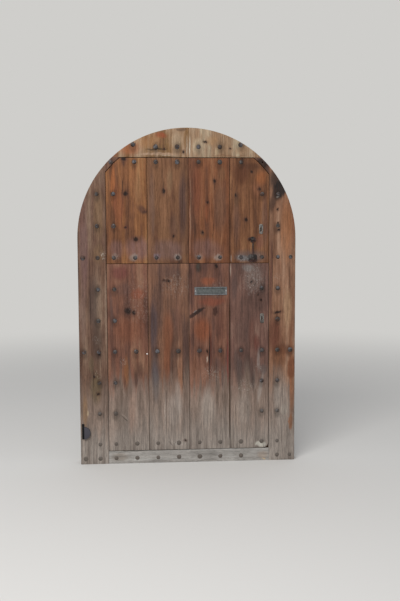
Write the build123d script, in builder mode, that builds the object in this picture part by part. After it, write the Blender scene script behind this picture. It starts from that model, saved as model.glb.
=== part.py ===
from build123d import *
from math import cos, radians, sin, sqrt
import os

os.makedirs("parts", exist_ok=True)

# Arched plank door: a fixed surround and two leaves, one above the other.
# X runs to the right seen from the front, Y runs inwards, Z runs up.
# The origin is the centre of the sill rail's underside. All sizes are in millimetres.

# Surround
ARCH_RADIUS = 670.0
SPRINGING_Z = 1400.0
LEFT_BOARD_WIDTH = 172.0
RIGHT_BOARD_WIDTH = 162.0
BOARD_THICKNESS = 30.0
FRAME_DEPTH = 42.0
BOTTOM_BOARD_HEIGHT = 78.0
TYMPANUM_HEIGHT = 178.0
TYMPANUM_JOINT_X = 12.0
HEAD_RAIL_HEIGHT = 80.0
RIB_WIDTH = 30.0
POST_TENON = (60.0, 14.0, 45.0)
SILL_TENON = (45.0, 14.0, 38.0)

# Leaves
SPLIT_DROP = 35.8
PLANK_WIDTH = 253.0
PLANK_GAP = 2.0
PLANK_LAP = 10.0
LEAF_FRAME_DEPTH = 45.0
STILE_WIDTH = 115.0
RAIL_HEIGHT = 90.0
BOTTOM_RAIL_HEIGHT = 100.0
RAIL_TENON_LENGTH = 42.0
RAIL_TENON_THICKNESS = 15.0
RAIL_TENON_SHOULDER = 15.0
WORN_CORNER_RADIUS = 32.0

# Clearances between the leaves and the surround
LAP = 15.0
HINGE_GAP = 3.0
LOCK_GAP = 5.0
LEAF_GAP = 4.0
FRAME_GAP = 4.0
STOP_GAP = 0.5
RUNNING_GAP = 0.3

# Forged studs
STUD_COLUMNS = 8
STUD_ROWS = 10
STUD_COLUMN_INSET = 47.0
STUD_FIRST_Z = 124.0
STUD_TOP_DROP = 28.3
STUD_FOOT_Z = 34.0
SIDE_STUD_INSET = 52.0
EDGE_STUD_INSET = 30.0
STUD_HEAD_RADIUS = 14.0
STUD_HEAD_HEIGHT = 8.0
STUD_HEAD_SLOPE = 7.2
STUD_SIDES = 6
STUD_SHANK = 8.0
STUD_TAIL_LENGTH = 26.0
STUD_TAIL_THICKNESS = 4.0
RIB_STUD_ANGLE = 30.0
CORNER_STUD_ANGLE = 45.0

# Hinges
HINGE_INSET = 33.0
PIN_RADIUS = 6.0
PIN_CLEARANCE = 0.4
STRAP_THICKNESS = 4.0
STRAP_HEIGHT = 34.0
STRAP_TIP_RADIUS = 13.0
STRAP_NECK = 16.0
STRAP_LENGTH = 420.0
SHORT_STRAP_LENGTH = 112.0
STRAP_EDGE = 1.0
UPPER_STRAP_RISE = 300.0
PINTLE_FOOT_HEIGHT = 14.0
PINTLE_SHANK = 12.0
PINTLE_DEPTH = 38.0
PIN_OVERRUN = 8.0

# Small nails that hold the ironwork on the back
NAIL_HEAD_RADIUS = 5.5
NAIL_HEAD_HEIGHT = 2.5
NAIL_SHANK = 4.0
NAIL_DEPTH = 22.0

# Rim locks
UPPER_KEY_INSET = 53.0
UPPER_KEY_RISE = 208.0
LOWER_KEY_INSET = 46.0
LOWER_KEY_DROP = 344.0
ESCUTCHEON = (25.0, 61.0, 2.5)
ESCUTCHEON_CORNER = 6.0
KEYHOLE_WIDTH = 7.0
KEYHOLE_HEIGHT = 24.0
KEYHOLE_CORNER = 1.5
LOCK_WIDTH = 108.0
LOCK_HEIGHT = 90.0
LOCK_DEPTH = 26.0
LOCK_PLATE_THICKNESS = 3.0
LOCK_PLATE_MARGIN = 13.0
LOCK_INSET = 4.0
BOLT_LENGTH = 85.0
BOLT_HEIGHT = 30.0
BOLT_THICKNESS = 8.0
BOLT_CLEARANCE = 0.4
BOLT_BORE_EXTRA = 10.0
KEEPER_WIDTH = 25.0
KEEPER_CLEARANCE = 3.0
KEEPER_WALL = 4.0
KEEPER_FLANGE = 26.0
KEEPER_INSET = 4.0

# Forged round work, hammered to flats
FORGED_SIDES = 12

# Bolt between the leaves
TIE_X = 266.0
TIE_RADIUS = 6.0
TIE_CLEARANCE = 0.4
TIE_PLATE_WIDTH = 48.0
TIE_PLATE_THICKNESS = 4.0
TIE_PLATE_MARGIN = 4.0
TIE_LOOP_WALL = 3.0
TIE_LOOP_HEIGHT = 14.0
TIE_HANDLE_RADIUS = 4.0
TIE_HANDLE_LENGTH = 24.0
TIE_KEEPER_HEIGHT = 20.0
TIE_KEEPER_CLEARANCE = 2.0
TIE_KEEPER_RISE = 6.0

# Letter plate
LETTER_INSET = 134.5
LETTER_DROP = 172.0
LETTER_PLATE = (201.0, 50.0, 3.5)
LETTER_SLOT = (160.0, 28.0)
LETTER_SLOT_MARGIN = 1.0
FLAP_WIDTH = 174.0
FLAP_HEIGHT = 36.0
FLAP_THICKNESS = 2.0
FLAP_PIN_RADIUS = 1.6
FLAP_PIN_DROP = 6.0
FLAP_KNUCKLE_WALL = 1.3
FLAP_EAR_THICKNESS = 5.0
LETTER_SCREW_INSET = 6.0
LETTER_SCREW_RADIUS = 3.8
LETTER_SCREW_HEAD = 1.9
LETTER_SCREW_SHANK = 4.0
LETTER_SCREW_LENGTH = 18.0

# Knocker
KNOCKER_INSET = 105.0
KNOCKER_RISE = 144.0
KNOCKER_PIN_RADIUS = 3.0
KNOCKER_EYE_RADIUS = 7.5
KNOCKER_EYE_WIDTH = 9.0
KNOCKER_BAR = (10.0, 7.0)
KNOCKER_NECK = (7.2, 5.6)
KNOCKER_ARRIS = 1.4
KNOCKER_STANDOFF = 8.0
HAMMER_RADIUS = 12.0
HAMMER_LENGTH = 14.0
HAMMER_EDGE = 3.0
STRIKE_RISE = 29.0
STRIKE_PLATE = (54.0, 48.0, 3.0)
STRIKE_CORNER = 8.0
STRIKE_BOSS = (10.0, 4.0)
STAPLE_PLATE = (40.0, 34.0, 3.0)
STAPLE_CORNER = 11.0
STAPLE_EAR_THICKNESS = 4.0
STAPLE_LEG = (6.0, 26.0)
CURL_RADIUS = 10.0
CURL_SECTION = 5.6
CURL_TURN = 200.0

# Small pad at the foot of the left board
BUFFER_EDGE_INSET = 9.0
BUFFER_PLATE = (14.0, 95.0, 5.0)
BUFFER_PLATE_Z = 208.0
BUFFER_PAD_Z = 199.0
BUFFER_PAD_RADIUS = 38.0
BUFFER_PAD_THICKNESS = 14.0

# Depths, from the front to the back
board_back = -FRAME_DEPTH / 2
board_front = board_back - BOARD_THICKNESS
frame_back = FRAME_DEPTH / 2
plank_front = board_front + STOP_GAP
plank_back = board_back + STOP_GAP
leaf_back = plank_back + LEAF_FRAME_DEPTH

# Opening between the boards of the surround
crown_z = SPRINGING_Z + ARCH_RADIUS
opening_left = -ARCH_RADIUS + LEFT_BOARD_WIDTH
opening_right = ARCH_RADIUS - RIGHT_BOARD_WIDTH
tympanum_foot = crown_z - TYMPANUM_HEIGHT

# Stud grid of the leaves. A column runs down each stile, and rows cross the rails.
stud_pitch_x = (opening_right - opening_left - 2 * STUD_COLUMN_INSET) / (STUD_COLUMNS - 1)
stud_pitch_z = (tympanum_foot - STUD_TOP_DROP - STUD_FIRST_Z) / (STUD_ROWS - 1)
stud_columns = [opening_left + STUD_COLUMN_INSET + count * stud_pitch_x for count in range(STUD_COLUMNS)]
stud_rows = [STUD_FIRST_Z + count * stud_pitch_z for count in range(STUD_ROWS)]
rail_rows = {"bottom": stud_rows[0], "middle": stud_rows[3], "split": stud_rows[6], "top": stud_rows[9]}
hinge_column, lock_column = stud_columns[0], stud_columns[-1]
split_z = rail_rows["split"] - SPLIT_DROP

# Outlines of the leaves and of what surrounds them
leaf_left = opening_left + HINGE_GAP
leaf_right = opening_right - LOCK_GAP
leaf_foot = BOTTOM_BOARD_HEIGHT + LEAF_GAP
leaf_head = tympanum_foot - LEAF_GAP
split_low = split_z - LEAF_GAP / 2
split_high = split_z + LEAF_GAP / 2
back_left = opening_left - LAP
back_right = opening_right + LAP
back_foot = leaf_foot - LAP
back_head = leaf_head + LAP
post_left = back_left - FRAME_GAP
post_right = back_right + FRAME_GAP
sill_head = back_foot - FRAME_GAP
head_foot = back_head + FRAME_GAP
rib_inside = ARCH_RADIUS - RIB_WIDTH
leaf_arch = rib_inside - FRAME_GAP
plank_joints = [opening_left + PLANK_WIDTH * count for count in (1, 2, 3)]
stile_left_edge = back_left + STILE_WIDTH
stile_right_edge = back_right - STILE_WIDTH

# Places of the ironwork
hinge_x = opening_left - HINGE_INSET
upper_strap_z = SPRINGING_Z + UPPER_STRAP_RISE
upper_key = (opening_right - UPPER_KEY_INSET, split_z + UPPER_KEY_RISE)
lower_key = (opening_right - LOWER_KEY_INSET, split_z - LOWER_KEY_DROP)
letter_centre = (plank_joints[1] + LETTER_INSET, split_z - LETTER_DROP)
knocker_x = opening_right - KNOCKER_INSET
knocker_pin_z = split_z + KNOCKER_RISE
strike_z = split_z + STRIKE_RISE


def front_plane(depth):
    """Plane that faces the front at this depth, with X to the right and Z up."""
    return Plane.XZ.offset(-depth)


def rectangle(left, right, foot, head, mode=Mode.ADD):
    """Rectangle between two X values and two Z values."""
    with Locations(((left + right) / 2, (foot + head) / 2)):
        Rectangle(right - left, head - foot, mode=mode)


def arch_height(radius, x):
    """Height of the arch line of this radius over x."""
    return SPRINGING_Z + sqrt(max(radius**2 - x**2, 0.0))


def arched_face(radius, left, right, mode=Mode.ADD):
    """Everything between left and right, over the ground and under the arch line."""
    left_top = (left, arch_height(radius, left))
    right_top = (right, arch_height(radius, right))
    middle = (left + right) / 2
    with BuildLine() as outline:
        ThreePointArc(left_top, (middle, arch_height(radius, middle)), right_top)
        Polyline(right_top, (right, 0), (left, 0), left_top)
    make_face(outline.edges(), mode=mode)


def square_holes(points, face, depth, width):
    """Square nail holes cut inwards from a face."""
    if points:
        with BuildSketch(front_plane(face)) as squares:
            with Locations(*points):
                Rectangle(width, width)
        extrude(squares.sketch, amount=-depth, mode=Mode.SUBTRACT)


def nail_holes(points, face):
    """Blind holes of the small nails, cut forwards from a back face."""
    if points:
        with BuildSketch(front_plane(face)) as squares:
            with Locations(*points):
                Rectangle(NAIL_SHANK, NAIL_SHANK)
        extrude(squares.sketch, amount=NAIL_DEPTH, mode=Mode.SUBTRACT)


def within(points, left, right, foot, head):
    """The points inside a rectangle."""
    return [(x, z) for x, z in points if left < x < right and foot < z < head]


def write(part, label):
    """Labels a finished piece and writes it."""
    part.label = label
    export_step(part, f"parts/{label}.step")


# Stud places
upper_studs = [(x, rail_rows["top"]) for x in stud_columns[1:-1]]
upper_studs += [(x, rail_rows["split"]) for x in stud_columns]
upper_studs += [(hinge_column, stud_rows[7]), (hinge_column, stud_rows[8]), (lock_column, stud_rows[8])]

lower_studs = [(x, rail_rows["middle"]) for x in stud_columns]
lower_studs += [(x, rail_rows["bottom"]) for x in stud_columns]
lower_studs += [(hinge_column, stud_rows[row]) for row in (1, 2, 4, 5)]
lower_studs += [(lock_column, stud_rows[row]) for row in (1, 2, 5)]

side_left = opening_left - SIDE_STUD_INSET
side_right = opening_right + SIDE_STUD_INSET
edge_left = -ARCH_RADIUS + EDGE_STUD_INSET
edge_right = ARCH_RADIUS - EDGE_STUD_INSET
rib_middle = ARCH_RADIUS - RIB_WIDTH / 2
head_stud_z = head_foot + HEAD_RAIL_HEIGHT * 0.6
rib_stud_x = rib_middle * sin(radians(RIB_STUD_ANGLE))
rib_stud_z = SPRINGING_Z + rib_middle * cos(radians(RIB_STUD_ANGLE))
corner_stud_x = rib_middle * sin(radians(CORNER_STUD_ANGLE))
corner_stud_z = SPRINGING_Z + rib_middle * cos(radians(CORNER_STUD_ANGLE))

side_studs = [(x, z) for x in (side_left, side_right) for z in [STUD_FOOT_Z] + stud_rows[:-1]]
side_studs += [(x, z) for x in (edge_left, edge_right) for z in (STUD_FOOT_Z, stud_rows[3], stud_rows[6])]
foot_studs = [(x, STUD_FOOT_Z) for x in stud_columns[:-1]]
head_studs = [(x, head_stud_z) for x in stud_columns[2:-2]]
rib_studs = [(-rib_stud_x, rib_stud_z), (rib_stud_x, rib_stud_z), (-corner_stud_x, corner_stud_z)]
frame_studs = side_studs + foot_studs + head_studs + rib_studs
empty_stud_hole = (corner_stud_x, corner_stud_z)

# Hinge places
eye_inner = PIN_RADIUS + PIN_CLEARANCE
eye_outer = eye_inner + STRAP_THICKNESS
hinge_y = leaf_back + eye_outer
lower_rail_head = back_foot + BOTTOM_RAIL_HEIGHT
strap_inset = STRAP_HEIGHT / 2 + STRAP_EDGE
straps = {
    "lower_strap_bottom": (lower_rail_head - strap_inset, STRAP_LENGTH),
    "lower_strap_top": (split_low - RAIL_HEIGHT / 2, STRAP_LENGTH),
    "upper_strap_bottom": (split_high + RAIL_HEIGHT - strap_inset, STRAP_LENGTH),
    "upper_strap_top": (upper_strap_z, SHORT_STRAP_LENGTH),
}


def pintle_foot(strap_z):
    """Height of the underside of the pintle foot under a strap's eye."""
    return strap_z - STRAP_HEIGHT / 2 - RUNNING_GAP - PINTLE_FOOT_HEIGHT


def strap_nails(strap_z, length):
    """Nail places on a strap, the last one in its round tip."""
    first = back_left + STILE_WIDTH / 4
    last = hinge_x + length - STRAP_TIP_RADIUS
    count = 4 if length > STILE_WIDTH * 2 else 2
    return [(first + (last - first) * step / (count - 1), strap_z) for step in range(count)]


def lock_nails(key):
    """Nail places on the plate of a rim lock."""
    lock_right = back_right - LOCK_INSET
    rise = LOCK_HEIGHT / 2 + LOCK_PLATE_MARGIN / 2
    sides = (lock_right - LOCK_WIDTH + LOCK_PLATE_MARGIN, lock_right - LOCK_PLATE_MARGIN)
    return [(x, key[1] + side * rise) for x in sides for side in (-1, 1)]


tie_plate_foot = split_low - RAIL_HEIGHT + TIE_PLATE_MARGIN
tie_plate_head = split_low - TIE_PLATE_MARGIN
tie_keeper_foot = split_high + TIE_KEEPER_RISE
tie_nail_x = TIE_PLATE_WIDTH / 2 - NAIL_HEAD_RADIUS - 1
tie_barrel_nails = [
    (TIE_X + side * tie_nail_x, z)
    for side in (-1, 1)
    for z in (tie_plate_foot + TIE_LOOP_HEIGHT / 2, tie_plate_head - TIE_LOOP_HEIGHT / 2)
]
tie_keeper_nails = [(TIE_X + side * tie_nail_x, tie_keeper_foot + TIE_KEEPER_HEIGHT / 2) for side in (-1, 1)]

upper_iron_nails = strap_nails(*straps["upper_strap_top"]) + strap_nails(*straps["upper_strap_bottom"])
upper_iron_nails += lock_nails(upper_key) + tie_keeper_nails
lower_iron_nails = strap_nails(*straps["lower_strap_top"]) + strap_nails(*straps["lower_strap_bottom"])
lower_iron_nails += lock_nails(lower_key) + tie_barrel_nails


# Fixed surround: posts, arch ribs and rails
def post(inner, outer, label):
    """Upright post with a tenon on top for the arch rib and a mortise for the sill rail."""
    left, right = min(inner, outer), max(inner, outer)
    tenon_width, tenon_depth, tenon_rise = POST_TENON
    side = 1 if outer > inner else -1
    with BuildPart() as upright:
        with BuildSketch(front_plane(frame_back)):
            rectangle(left, right, 0, SPRINGING_Z)
        extrude(amount=FRAME_DEPTH)
        with BuildSketch(Plane.XY.offset(SPRINGING_Z)):
            with Locations(((left + right) / 2, 0)):
                Rectangle(tenon_width, tenon_depth)
        extrude(amount=tenon_rise)
        with BuildSketch(Plane.YZ.offset(inner)):
            with Locations((0, sill_head / 2)):
                Rectangle(SILL_TENON[1], SILL_TENON[2])
        extrude(amount=side * SILL_TENON[0], mode=Mode.SUBTRACT)
        square_holes(within(side_studs, left, right, 0, SPRINGING_Z), board_back, FRAME_DEPTH, STUD_SHANK)
        if side < 0:
            pintle_pockets(0, SPRINGING_Z)
    write(upright.part, label)


def pintle_pockets(foot, head):
    """Square pockets for the pintle shanks, cut forwards from the back of the surround."""
    for strap_z, _ in straps.values():
        middle = pintle_foot(strap_z) + PINTLE_FOOT_HEIGHT / 2
        if foot < middle < head:
            with BuildSketch(front_plane(frame_back)) as pocket:
                with Locations((hinge_x, middle)):
                    Rectangle(PINTLE_SHANK, PINTLE_SHANK)
            extrude(pocket.sketch, amount=PINTLE_DEPTH, mode=Mode.SUBTRACT)


def arch_rib(side, inner, label):
    """Sawn arch piece from the top of a post to the crown, thin over the leaf's corner."""
    left, right = min(side * ARCH_RADIUS, 0), max(side * ARCH_RADIUS, 0)
    tenon_width, tenon_depth, tenon_rise = POST_TENON
    with BuildPart() as rib:
        with BuildSketch(front_plane(frame_back)):
            rectangle(left, right, SPRINGING_Z, crown_z)
            arched_face(ARCH_RADIUS, -ARCH_RADIUS, ARCH_RADIUS, mode=Mode.INTERSECT)
            arched_face(rib_inside, post_left, post_right, mode=Mode.SUBTRACT)
        extrude(amount=FRAME_DEPTH)
        with BuildSketch(Plane.XY.offset(SPRINGING_Z)):
            with Locations(((inner + side * ARCH_RADIUS) / 2, 0)):
                Rectangle(tenon_width, tenon_depth)
        extrude(amount=tenon_rise, mode=Mode.SUBTRACT)
        studs_here = within(side_studs + rib_studs + [empty_stud_hole], left, right, SPRINGING_Z, crown_z)
        square_holes(studs_here, board_back, FRAME_DEPTH, STUD_SHANK)
        if side < 0:
            pintle_pockets(SPRINGING_Z, crown_z)
    write(rib.part, label)


def make_head_rail():
    """Rail over the leaves, its ends scribed to the arch ribs."""
    head = head_foot + HEAD_RAIL_HEIGHT
    with BuildPart() as rail:
        with BuildSketch(front_plane(frame_back)):
            rectangle(-ARCH_RADIUS, ARCH_RADIUS, head_foot, head)
            arched_face(rib_inside, -rib_inside, rib_inside, mode=Mode.INTERSECT)
        extrude(amount=FRAME_DEPTH)
        square_holes(head_studs, board_back, FRAME_DEPTH, STUD_SHANK)
    write(rail.part, "head_rail")


def make_sill_rail():
    """Rail under the leaves, tenoned into both posts."""
    reach = SILL_TENON[0]
    with BuildPart() as rail:
        with BuildSketch(front_plane(frame_back)):
            rectangle(post_left, post_right, 0, sill_head)
        extrude(amount=FRAME_DEPTH)
        with BuildSketch(front_plane(SILL_TENON[1] / 2)):
            rectangle(
                post_left - reach,
                post_right + reach,
                sill_head / 2 - SILL_TENON[2] / 2,
                sill_head / 2 + SILL_TENON[2] / 2,
            )
        extrude(amount=SILL_TENON[1])
        studs_here = within(frame_studs, post_left - reach, post_right + reach, 0, sill_head)
        square_holes(studs_here, board_back, FRAME_DEPTH, STUD_SHANK)
    write(rail.part, "sill_rail")


# Fixed surround: the boards in front
def surround_board(left, right, foot, head, label):
    """Board of the surround, cut to the arch."""
    with BuildPart() as board:
        with BuildSketch(front_plane(board_back)):
            rectangle(left, right, foot, head)
            arched_face(ARCH_RADIUS, -ARCH_RADIUS, ARCH_RADIUS, mode=Mode.INTERSECT)
        extrude(amount=BOARD_THICKNESS)
        square_holes(within(frame_studs, left, right, foot, head), board_front, BOARD_THICKNESS, STUD_SHANK)
    write(board.part, label)


def corner_block(left, right, label):
    """Short curved block between a side board and the tympanum, in front of the arch rib."""
    with BuildPart() as block:
        with BuildSketch(front_plane(board_back)):
            rectangle(left, right, SPRINGING_Z, tympanum_foot)
            arched_face(ARCH_RADIUS, -ARCH_RADIUS, ARCH_RADIUS, mode=Mode.INTERSECT)
            arched_face(rib_inside, -rib_inside, rib_inside, mode=Mode.SUBTRACT)
        extrude(amount=BOARD_THICKNESS)
        studs_here = within(frame_studs + [empty_stud_hole], left, right, SPRINGING_Z, tympanum_foot)
        square_holes(studs_here, board_front, BOARD_THICKNESS, STUD_SHANK)
    write(block.part, label)


# Forged studs
def make_studs(points, face, back, label):
    """Rose-headed forged nails, driven through and clenched downwards behind."""
    with BuildPart() as nails:
        with BuildSketch(front_plane(face)):
            with Locations(*points):
                RegularPolygon(STUD_HEAD_RADIUS, STUD_SIDES, major_radius=False)
        extrude(amount=STUD_HEAD_HEIGHT)
        chamfer(nails.faces().group_by(Axis.Y)[0].edges(), STUD_HEAD_SLOPE)
        with BuildSketch(front_plane(face)):
            with Locations(*points):
                Rectangle(STUD_SHANK, STUD_SHANK)
        extrude(amount=face - back)
        with BuildSketch(front_plane(back)):
            with Locations(*[(x, z + (STUD_SHANK - STUD_TAIL_LENGTH) / 2) for x, z in points]):
                Rectangle(STUD_SHANK, STUD_TAIL_LENGTH)
        extrude(amount=-STUD_TAIL_THICKNESS)
    write(nails.part, label)


# Leaves: planks, stiles and rails
def plank(edges, laps, foot, head, studs, label, slots=(), worn_corner=False):
    """Front plank of a leaf, clipped by the arch. Its back half is set over to lap the next plank."""
    left, right = edges
    left_lap, right_lap = laps
    layers = (
        (plank_front + BOARD_THICKNESS / 2, left, right),
        (plank_back, left + left_lap, right + right_lap),
    )
    with BuildPart() as board:
        for back, layer_left, layer_right in layers:
            with BuildSketch(front_plane(back)):
                rectangle(layer_left, layer_right, foot, head)
                arched_face(leaf_arch, -leaf_arch, leaf_arch, mode=Mode.INTERSECT)
                if worn_corner:
                    corner = vertices().sort_by(Axis.Y)[:2].sort_by(Axis.X)[-1]
                    fillet(corner, WORN_CORNER_RADIUS)
            extrude(amount=BOARD_THICKNESS / 2)
        square_holes(within(studs, left, right, foot, head), plank_front, BOARD_THICKNESS, STUD_SHANK)
        for slot in slots:
            slot(plank_front, BOARD_THICKNESS)
    write(board.part, label)


def keyhole(key):
    """Returns a cut through wood for the key of a lock."""
    def cut(face, depth):
        with BuildSketch(front_plane(face)) as hole:
            with Locations(key):
                Rectangle(KEYHOLE_WIDTH, KEYHOLE_HEIGHT)
            chamfer(vertices(), KEYHOLE_CORNER)
        extrude(hole.sketch, amount=-depth, mode=Mode.SUBTRACT)
    return cut


def socket(x, z, width, length):
    """Returns a blind square socket for the leg of a forging."""
    def cut(face, depth):
        with BuildSketch(front_plane(face)) as hole:
            with Locations((x, z)):
                Rectangle(width, width)
        extrude(hole.sketch, amount=-min(length, depth), mode=Mode.SUBTRACT)
    return cut


def letter_cut(face, depth):
    """Opening behind the letter plate."""
    width, height = LETTER_SLOT
    with BuildSketch(front_plane(face)) as opening:
        with Locations(letter_centre):
            Rectangle(width + 2 * LETTER_SLOT_MARGIN, height + 2 * LETTER_SLOT_MARGIN)
    extrude(opening.sketch, amount=-depth, mode=Mode.SUBTRACT)


def rail_tenon(foot, head, side, mode):
    """Tenon of a rail, or its mortise, on the left (-1) or right (+1)."""
    edge = stile_left_edge if side < 0 else stile_right_edge
    end = edge + side * RAIL_TENON_LENGTH
    middle = (plank_back + leaf_back) / 2
    clear_arch = leaf_arch - RAIL_TENON_SHOULDER
    with BuildSketch(front_plane(middle + RAIL_TENON_THICKNESS / 2)) as tenon:
        rectangle(min(edge, end), max(edge, end), foot + RAIL_TENON_SHOULDER, head - RAIL_TENON_SHOULDER)
        arched_face(clear_arch, -clear_arch, clear_arch, mode=Mode.INTERSECT)
    extrude(tenon.sketch, amount=RAIL_TENON_THICKNESS, mode=mode)


def stile(left, right, foot, head, studs, nails, rails, label, slots=()):
    """Upright behind the planks, mortised for the rails of its leaf."""
    side = -1 if left == back_left else 1
    with BuildPart() as upright:
        with BuildSketch(front_plane(leaf_back)):
            rectangle(left, right, foot, head)
            arched_face(leaf_arch, -leaf_arch, leaf_arch, mode=Mode.INTERSECT)
        extrude(amount=LEAF_FRAME_DEPTH)
        for rail_foot, rail_head in rails:
            rail_tenon(rail_foot, rail_head, side, Mode.SUBTRACT)
        square_holes(within(studs, left, right, foot, head), plank_back, LEAF_FRAME_DEPTH, STUD_SHANK)
        nail_holes(within(nails, left, right, foot, head), leaf_back)
        for slot in slots:
            slot(plank_back, LEAF_FRAME_DEPTH)
    write(upright.part, label)


def leaf_rail(foot, head, studs, nails, label):
    """Rail between the stiles, with a tenon at each end."""
    with BuildPart() as rail:
        with BuildSketch(front_plane(leaf_back)):
            rectangle(stile_left_edge, stile_right_edge, foot, head)
            arched_face(leaf_arch, -leaf_arch, leaf_arch, mode=Mode.INTERSECT)
        extrude(amount=LEAF_FRAME_DEPTH)
        for side in (-1, 1):
            rail_tenon(foot, head, side, Mode.ADD)
        here = (stile_left_edge, stile_right_edge, foot, head)
        square_holes(within(studs, *here), plank_back, LEAF_FRAME_DEPTH, STUD_SHANK)
        nail_holes(within(nails, *here), leaf_back)
    write(rail.part, label)


def make_nails(points, outer_faces, label):
    """Small nails with faceted heads, driven forwards into the back of a leaf."""
    with BuildPart() as nails:
        for (x, z), outer in zip(points, outer_faces):
            with BuildSketch(front_plane(outer + NAIL_HEAD_HEIGHT)):
                with Locations((x, z)):
                    RegularPolygon(NAIL_HEAD_RADIUS, 6)
            extrude(amount=NAIL_HEAD_HEIGHT)
            with BuildSketch(front_plane(outer)):
                with Locations((x, z)):
                    Rectangle(NAIL_SHANK, NAIL_SHANK)
            extrude(amount=outer - leaf_back + NAIL_DEPTH)
    write(nails.part, label)


# Hinges
def strap_hinge(strap_z, length, label):
    """Forged strap rolled into an eye, tapering to a round tip."""
    half = STRAP_HEIGHT / 2
    tip_x = hinge_x + length - STRAP_TIP_RADIUS
    with BuildPart() as strap:
        with BuildSketch(front_plane(leaf_back + STRAP_THICKNESS)):
            with BuildLine():
                Polyline(
                    (hinge_x, strap_z - half),
                    (tip_x, strap_z - STRAP_NECK / 2),
                    (tip_x, strap_z + STRAP_NECK / 2),
                    (hinge_x, strap_z + half),
                    close=True,
                )
            make_face()
            with Locations((tip_x, strap_z)):
                RegularPolygon(STRAP_TIP_RADIUS, FORGED_SIDES)
        extrude(amount=STRAP_THICKNESS)
        with BuildSketch(Plane.XY.offset(strap_z - half)):
            with Locations((hinge_x, hinge_y)):
                RegularPolygon(eye_outer, FORGED_SIDES)
        extrude(amount=STRAP_HEIGHT)
        with BuildSketch(Plane.XY.offset(strap_z - half)):
            with Locations((hinge_x, hinge_y)):
                Circle(eye_inner)
        extrude(amount=STRAP_HEIGHT, mode=Mode.SUBTRACT)
        through = STRAP_THICKNESS
        with BuildSketch(front_plane(leaf_back + through)):
            with Locations(*strap_nails(strap_z, length)):
                Rectangle(NAIL_SHANK, NAIL_SHANK)
        extrude(amount=through, mode=Mode.SUBTRACT)
    write(strap.part, label)


def make_pintles():
    """Four hinge pins, each on a foot with a square shank driven into the surround."""
    with BuildPart() as pins:
        for strap_z, _ in straps.values():
            foot_z = pintle_foot(strap_z)
            pin_rise = PINTLE_FOOT_HEIGHT + RUNNING_GAP + STRAP_HEIGHT + PIN_OVERRUN
            with BuildSketch(Plane.XY.offset(foot_z)):
                with Locations((hinge_x, hinge_y)):
                    RegularPolygon(eye_outer, FORGED_SIDES)
            extrude(amount=PINTLE_FOOT_HEIGHT)
            with BuildSketch(Plane.XY.offset(foot_z)):
                with Locations((hinge_x, hinge_y)):
                    Circle(PIN_RADIUS)
            extrude(amount=pin_rise)
            with BuildSketch(front_plane(hinge_y)):
                with Locations((hinge_x, foot_z + PINTLE_FOOT_HEIGHT / 2)):
                    Rectangle(PINTLE_SHANK, PINTLE_SHANK)
            extrude(amount=hinge_y - frame_back + PINTLE_DEPTH)
    write(pins.part, "pintles")


# Rim locks
bolt_y = leaf_back + LOCK_DEPTH / 2
lock_right = back_right - LOCK_INSET
lock_left = lock_right - LOCK_WIDTH


def lock_case(key, label):
    """Iron case nailed on the back of the lock stile, bored for its bolt."""
    middle = (lock_left + lock_right) / 2
    plate_height = LOCK_HEIGHT + 2 * LOCK_PLATE_MARGIN
    with BuildPart() as case:
        with BuildSketch(front_plane(leaf_back + LOCK_PLATE_THICKNESS)):
            with Locations((middle, key[1])):
                Rectangle(LOCK_WIDTH, plate_height)
        extrude(amount=LOCK_PLATE_THICKNESS)
        with BuildSketch(front_plane(leaf_back + LOCK_DEPTH)):
            with Locations((middle, key[1])):
                Rectangle(LOCK_WIDTH, LOCK_HEIGHT)
        extrude(amount=LOCK_DEPTH)
        rim = case.faces().sort_by(Axis.Y)[-1].edges()
        chamfer(rim, LOCK_PLATE_THICKNESS)
        with BuildSketch(Plane.YZ.offset(lock_right)):
            with Locations((bolt_y, key[1])):
                Rectangle(BOLT_THICKNESS + 2 * BOLT_CLEARANCE, BOLT_HEIGHT + 2 * BOLT_CLEARANCE)
        extrude(amount=-(BOLT_LENGTH + BOLT_BORE_EXTRA), mode=Mode.SUBTRACT)
        with BuildSketch(front_plane(leaf_back + LOCK_PLATE_THICKNESS)):
            with Locations(*lock_nails(key)):
                Rectangle(NAIL_SHANK, NAIL_SHANK)
        extrude(amount=LOCK_PLATE_THICKNESS, mode=Mode.SUBTRACT)
    write(case.part, label)


def lock_bolt(key, label):
    """Flat bolt, drawn back into its case."""
    tip = lock_right - BOLT_CLEARANCE
    with BuildPart() as bolt:
        with BuildSketch(Plane.YZ.offset(tip - BOLT_LENGTH)):
            with Locations((bolt_y, key[1])):
                Rectangle(BOLT_THICKNESS, BOLT_HEIGHT)
        extrude(amount=BOLT_LENGTH)
        chamfer(bolt.faces().sort_by(Axis.X)[-1].edges().filter_by(Axis.Z), BOLT_THICKNESS / 5)
    write(bolt.part, label)


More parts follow.
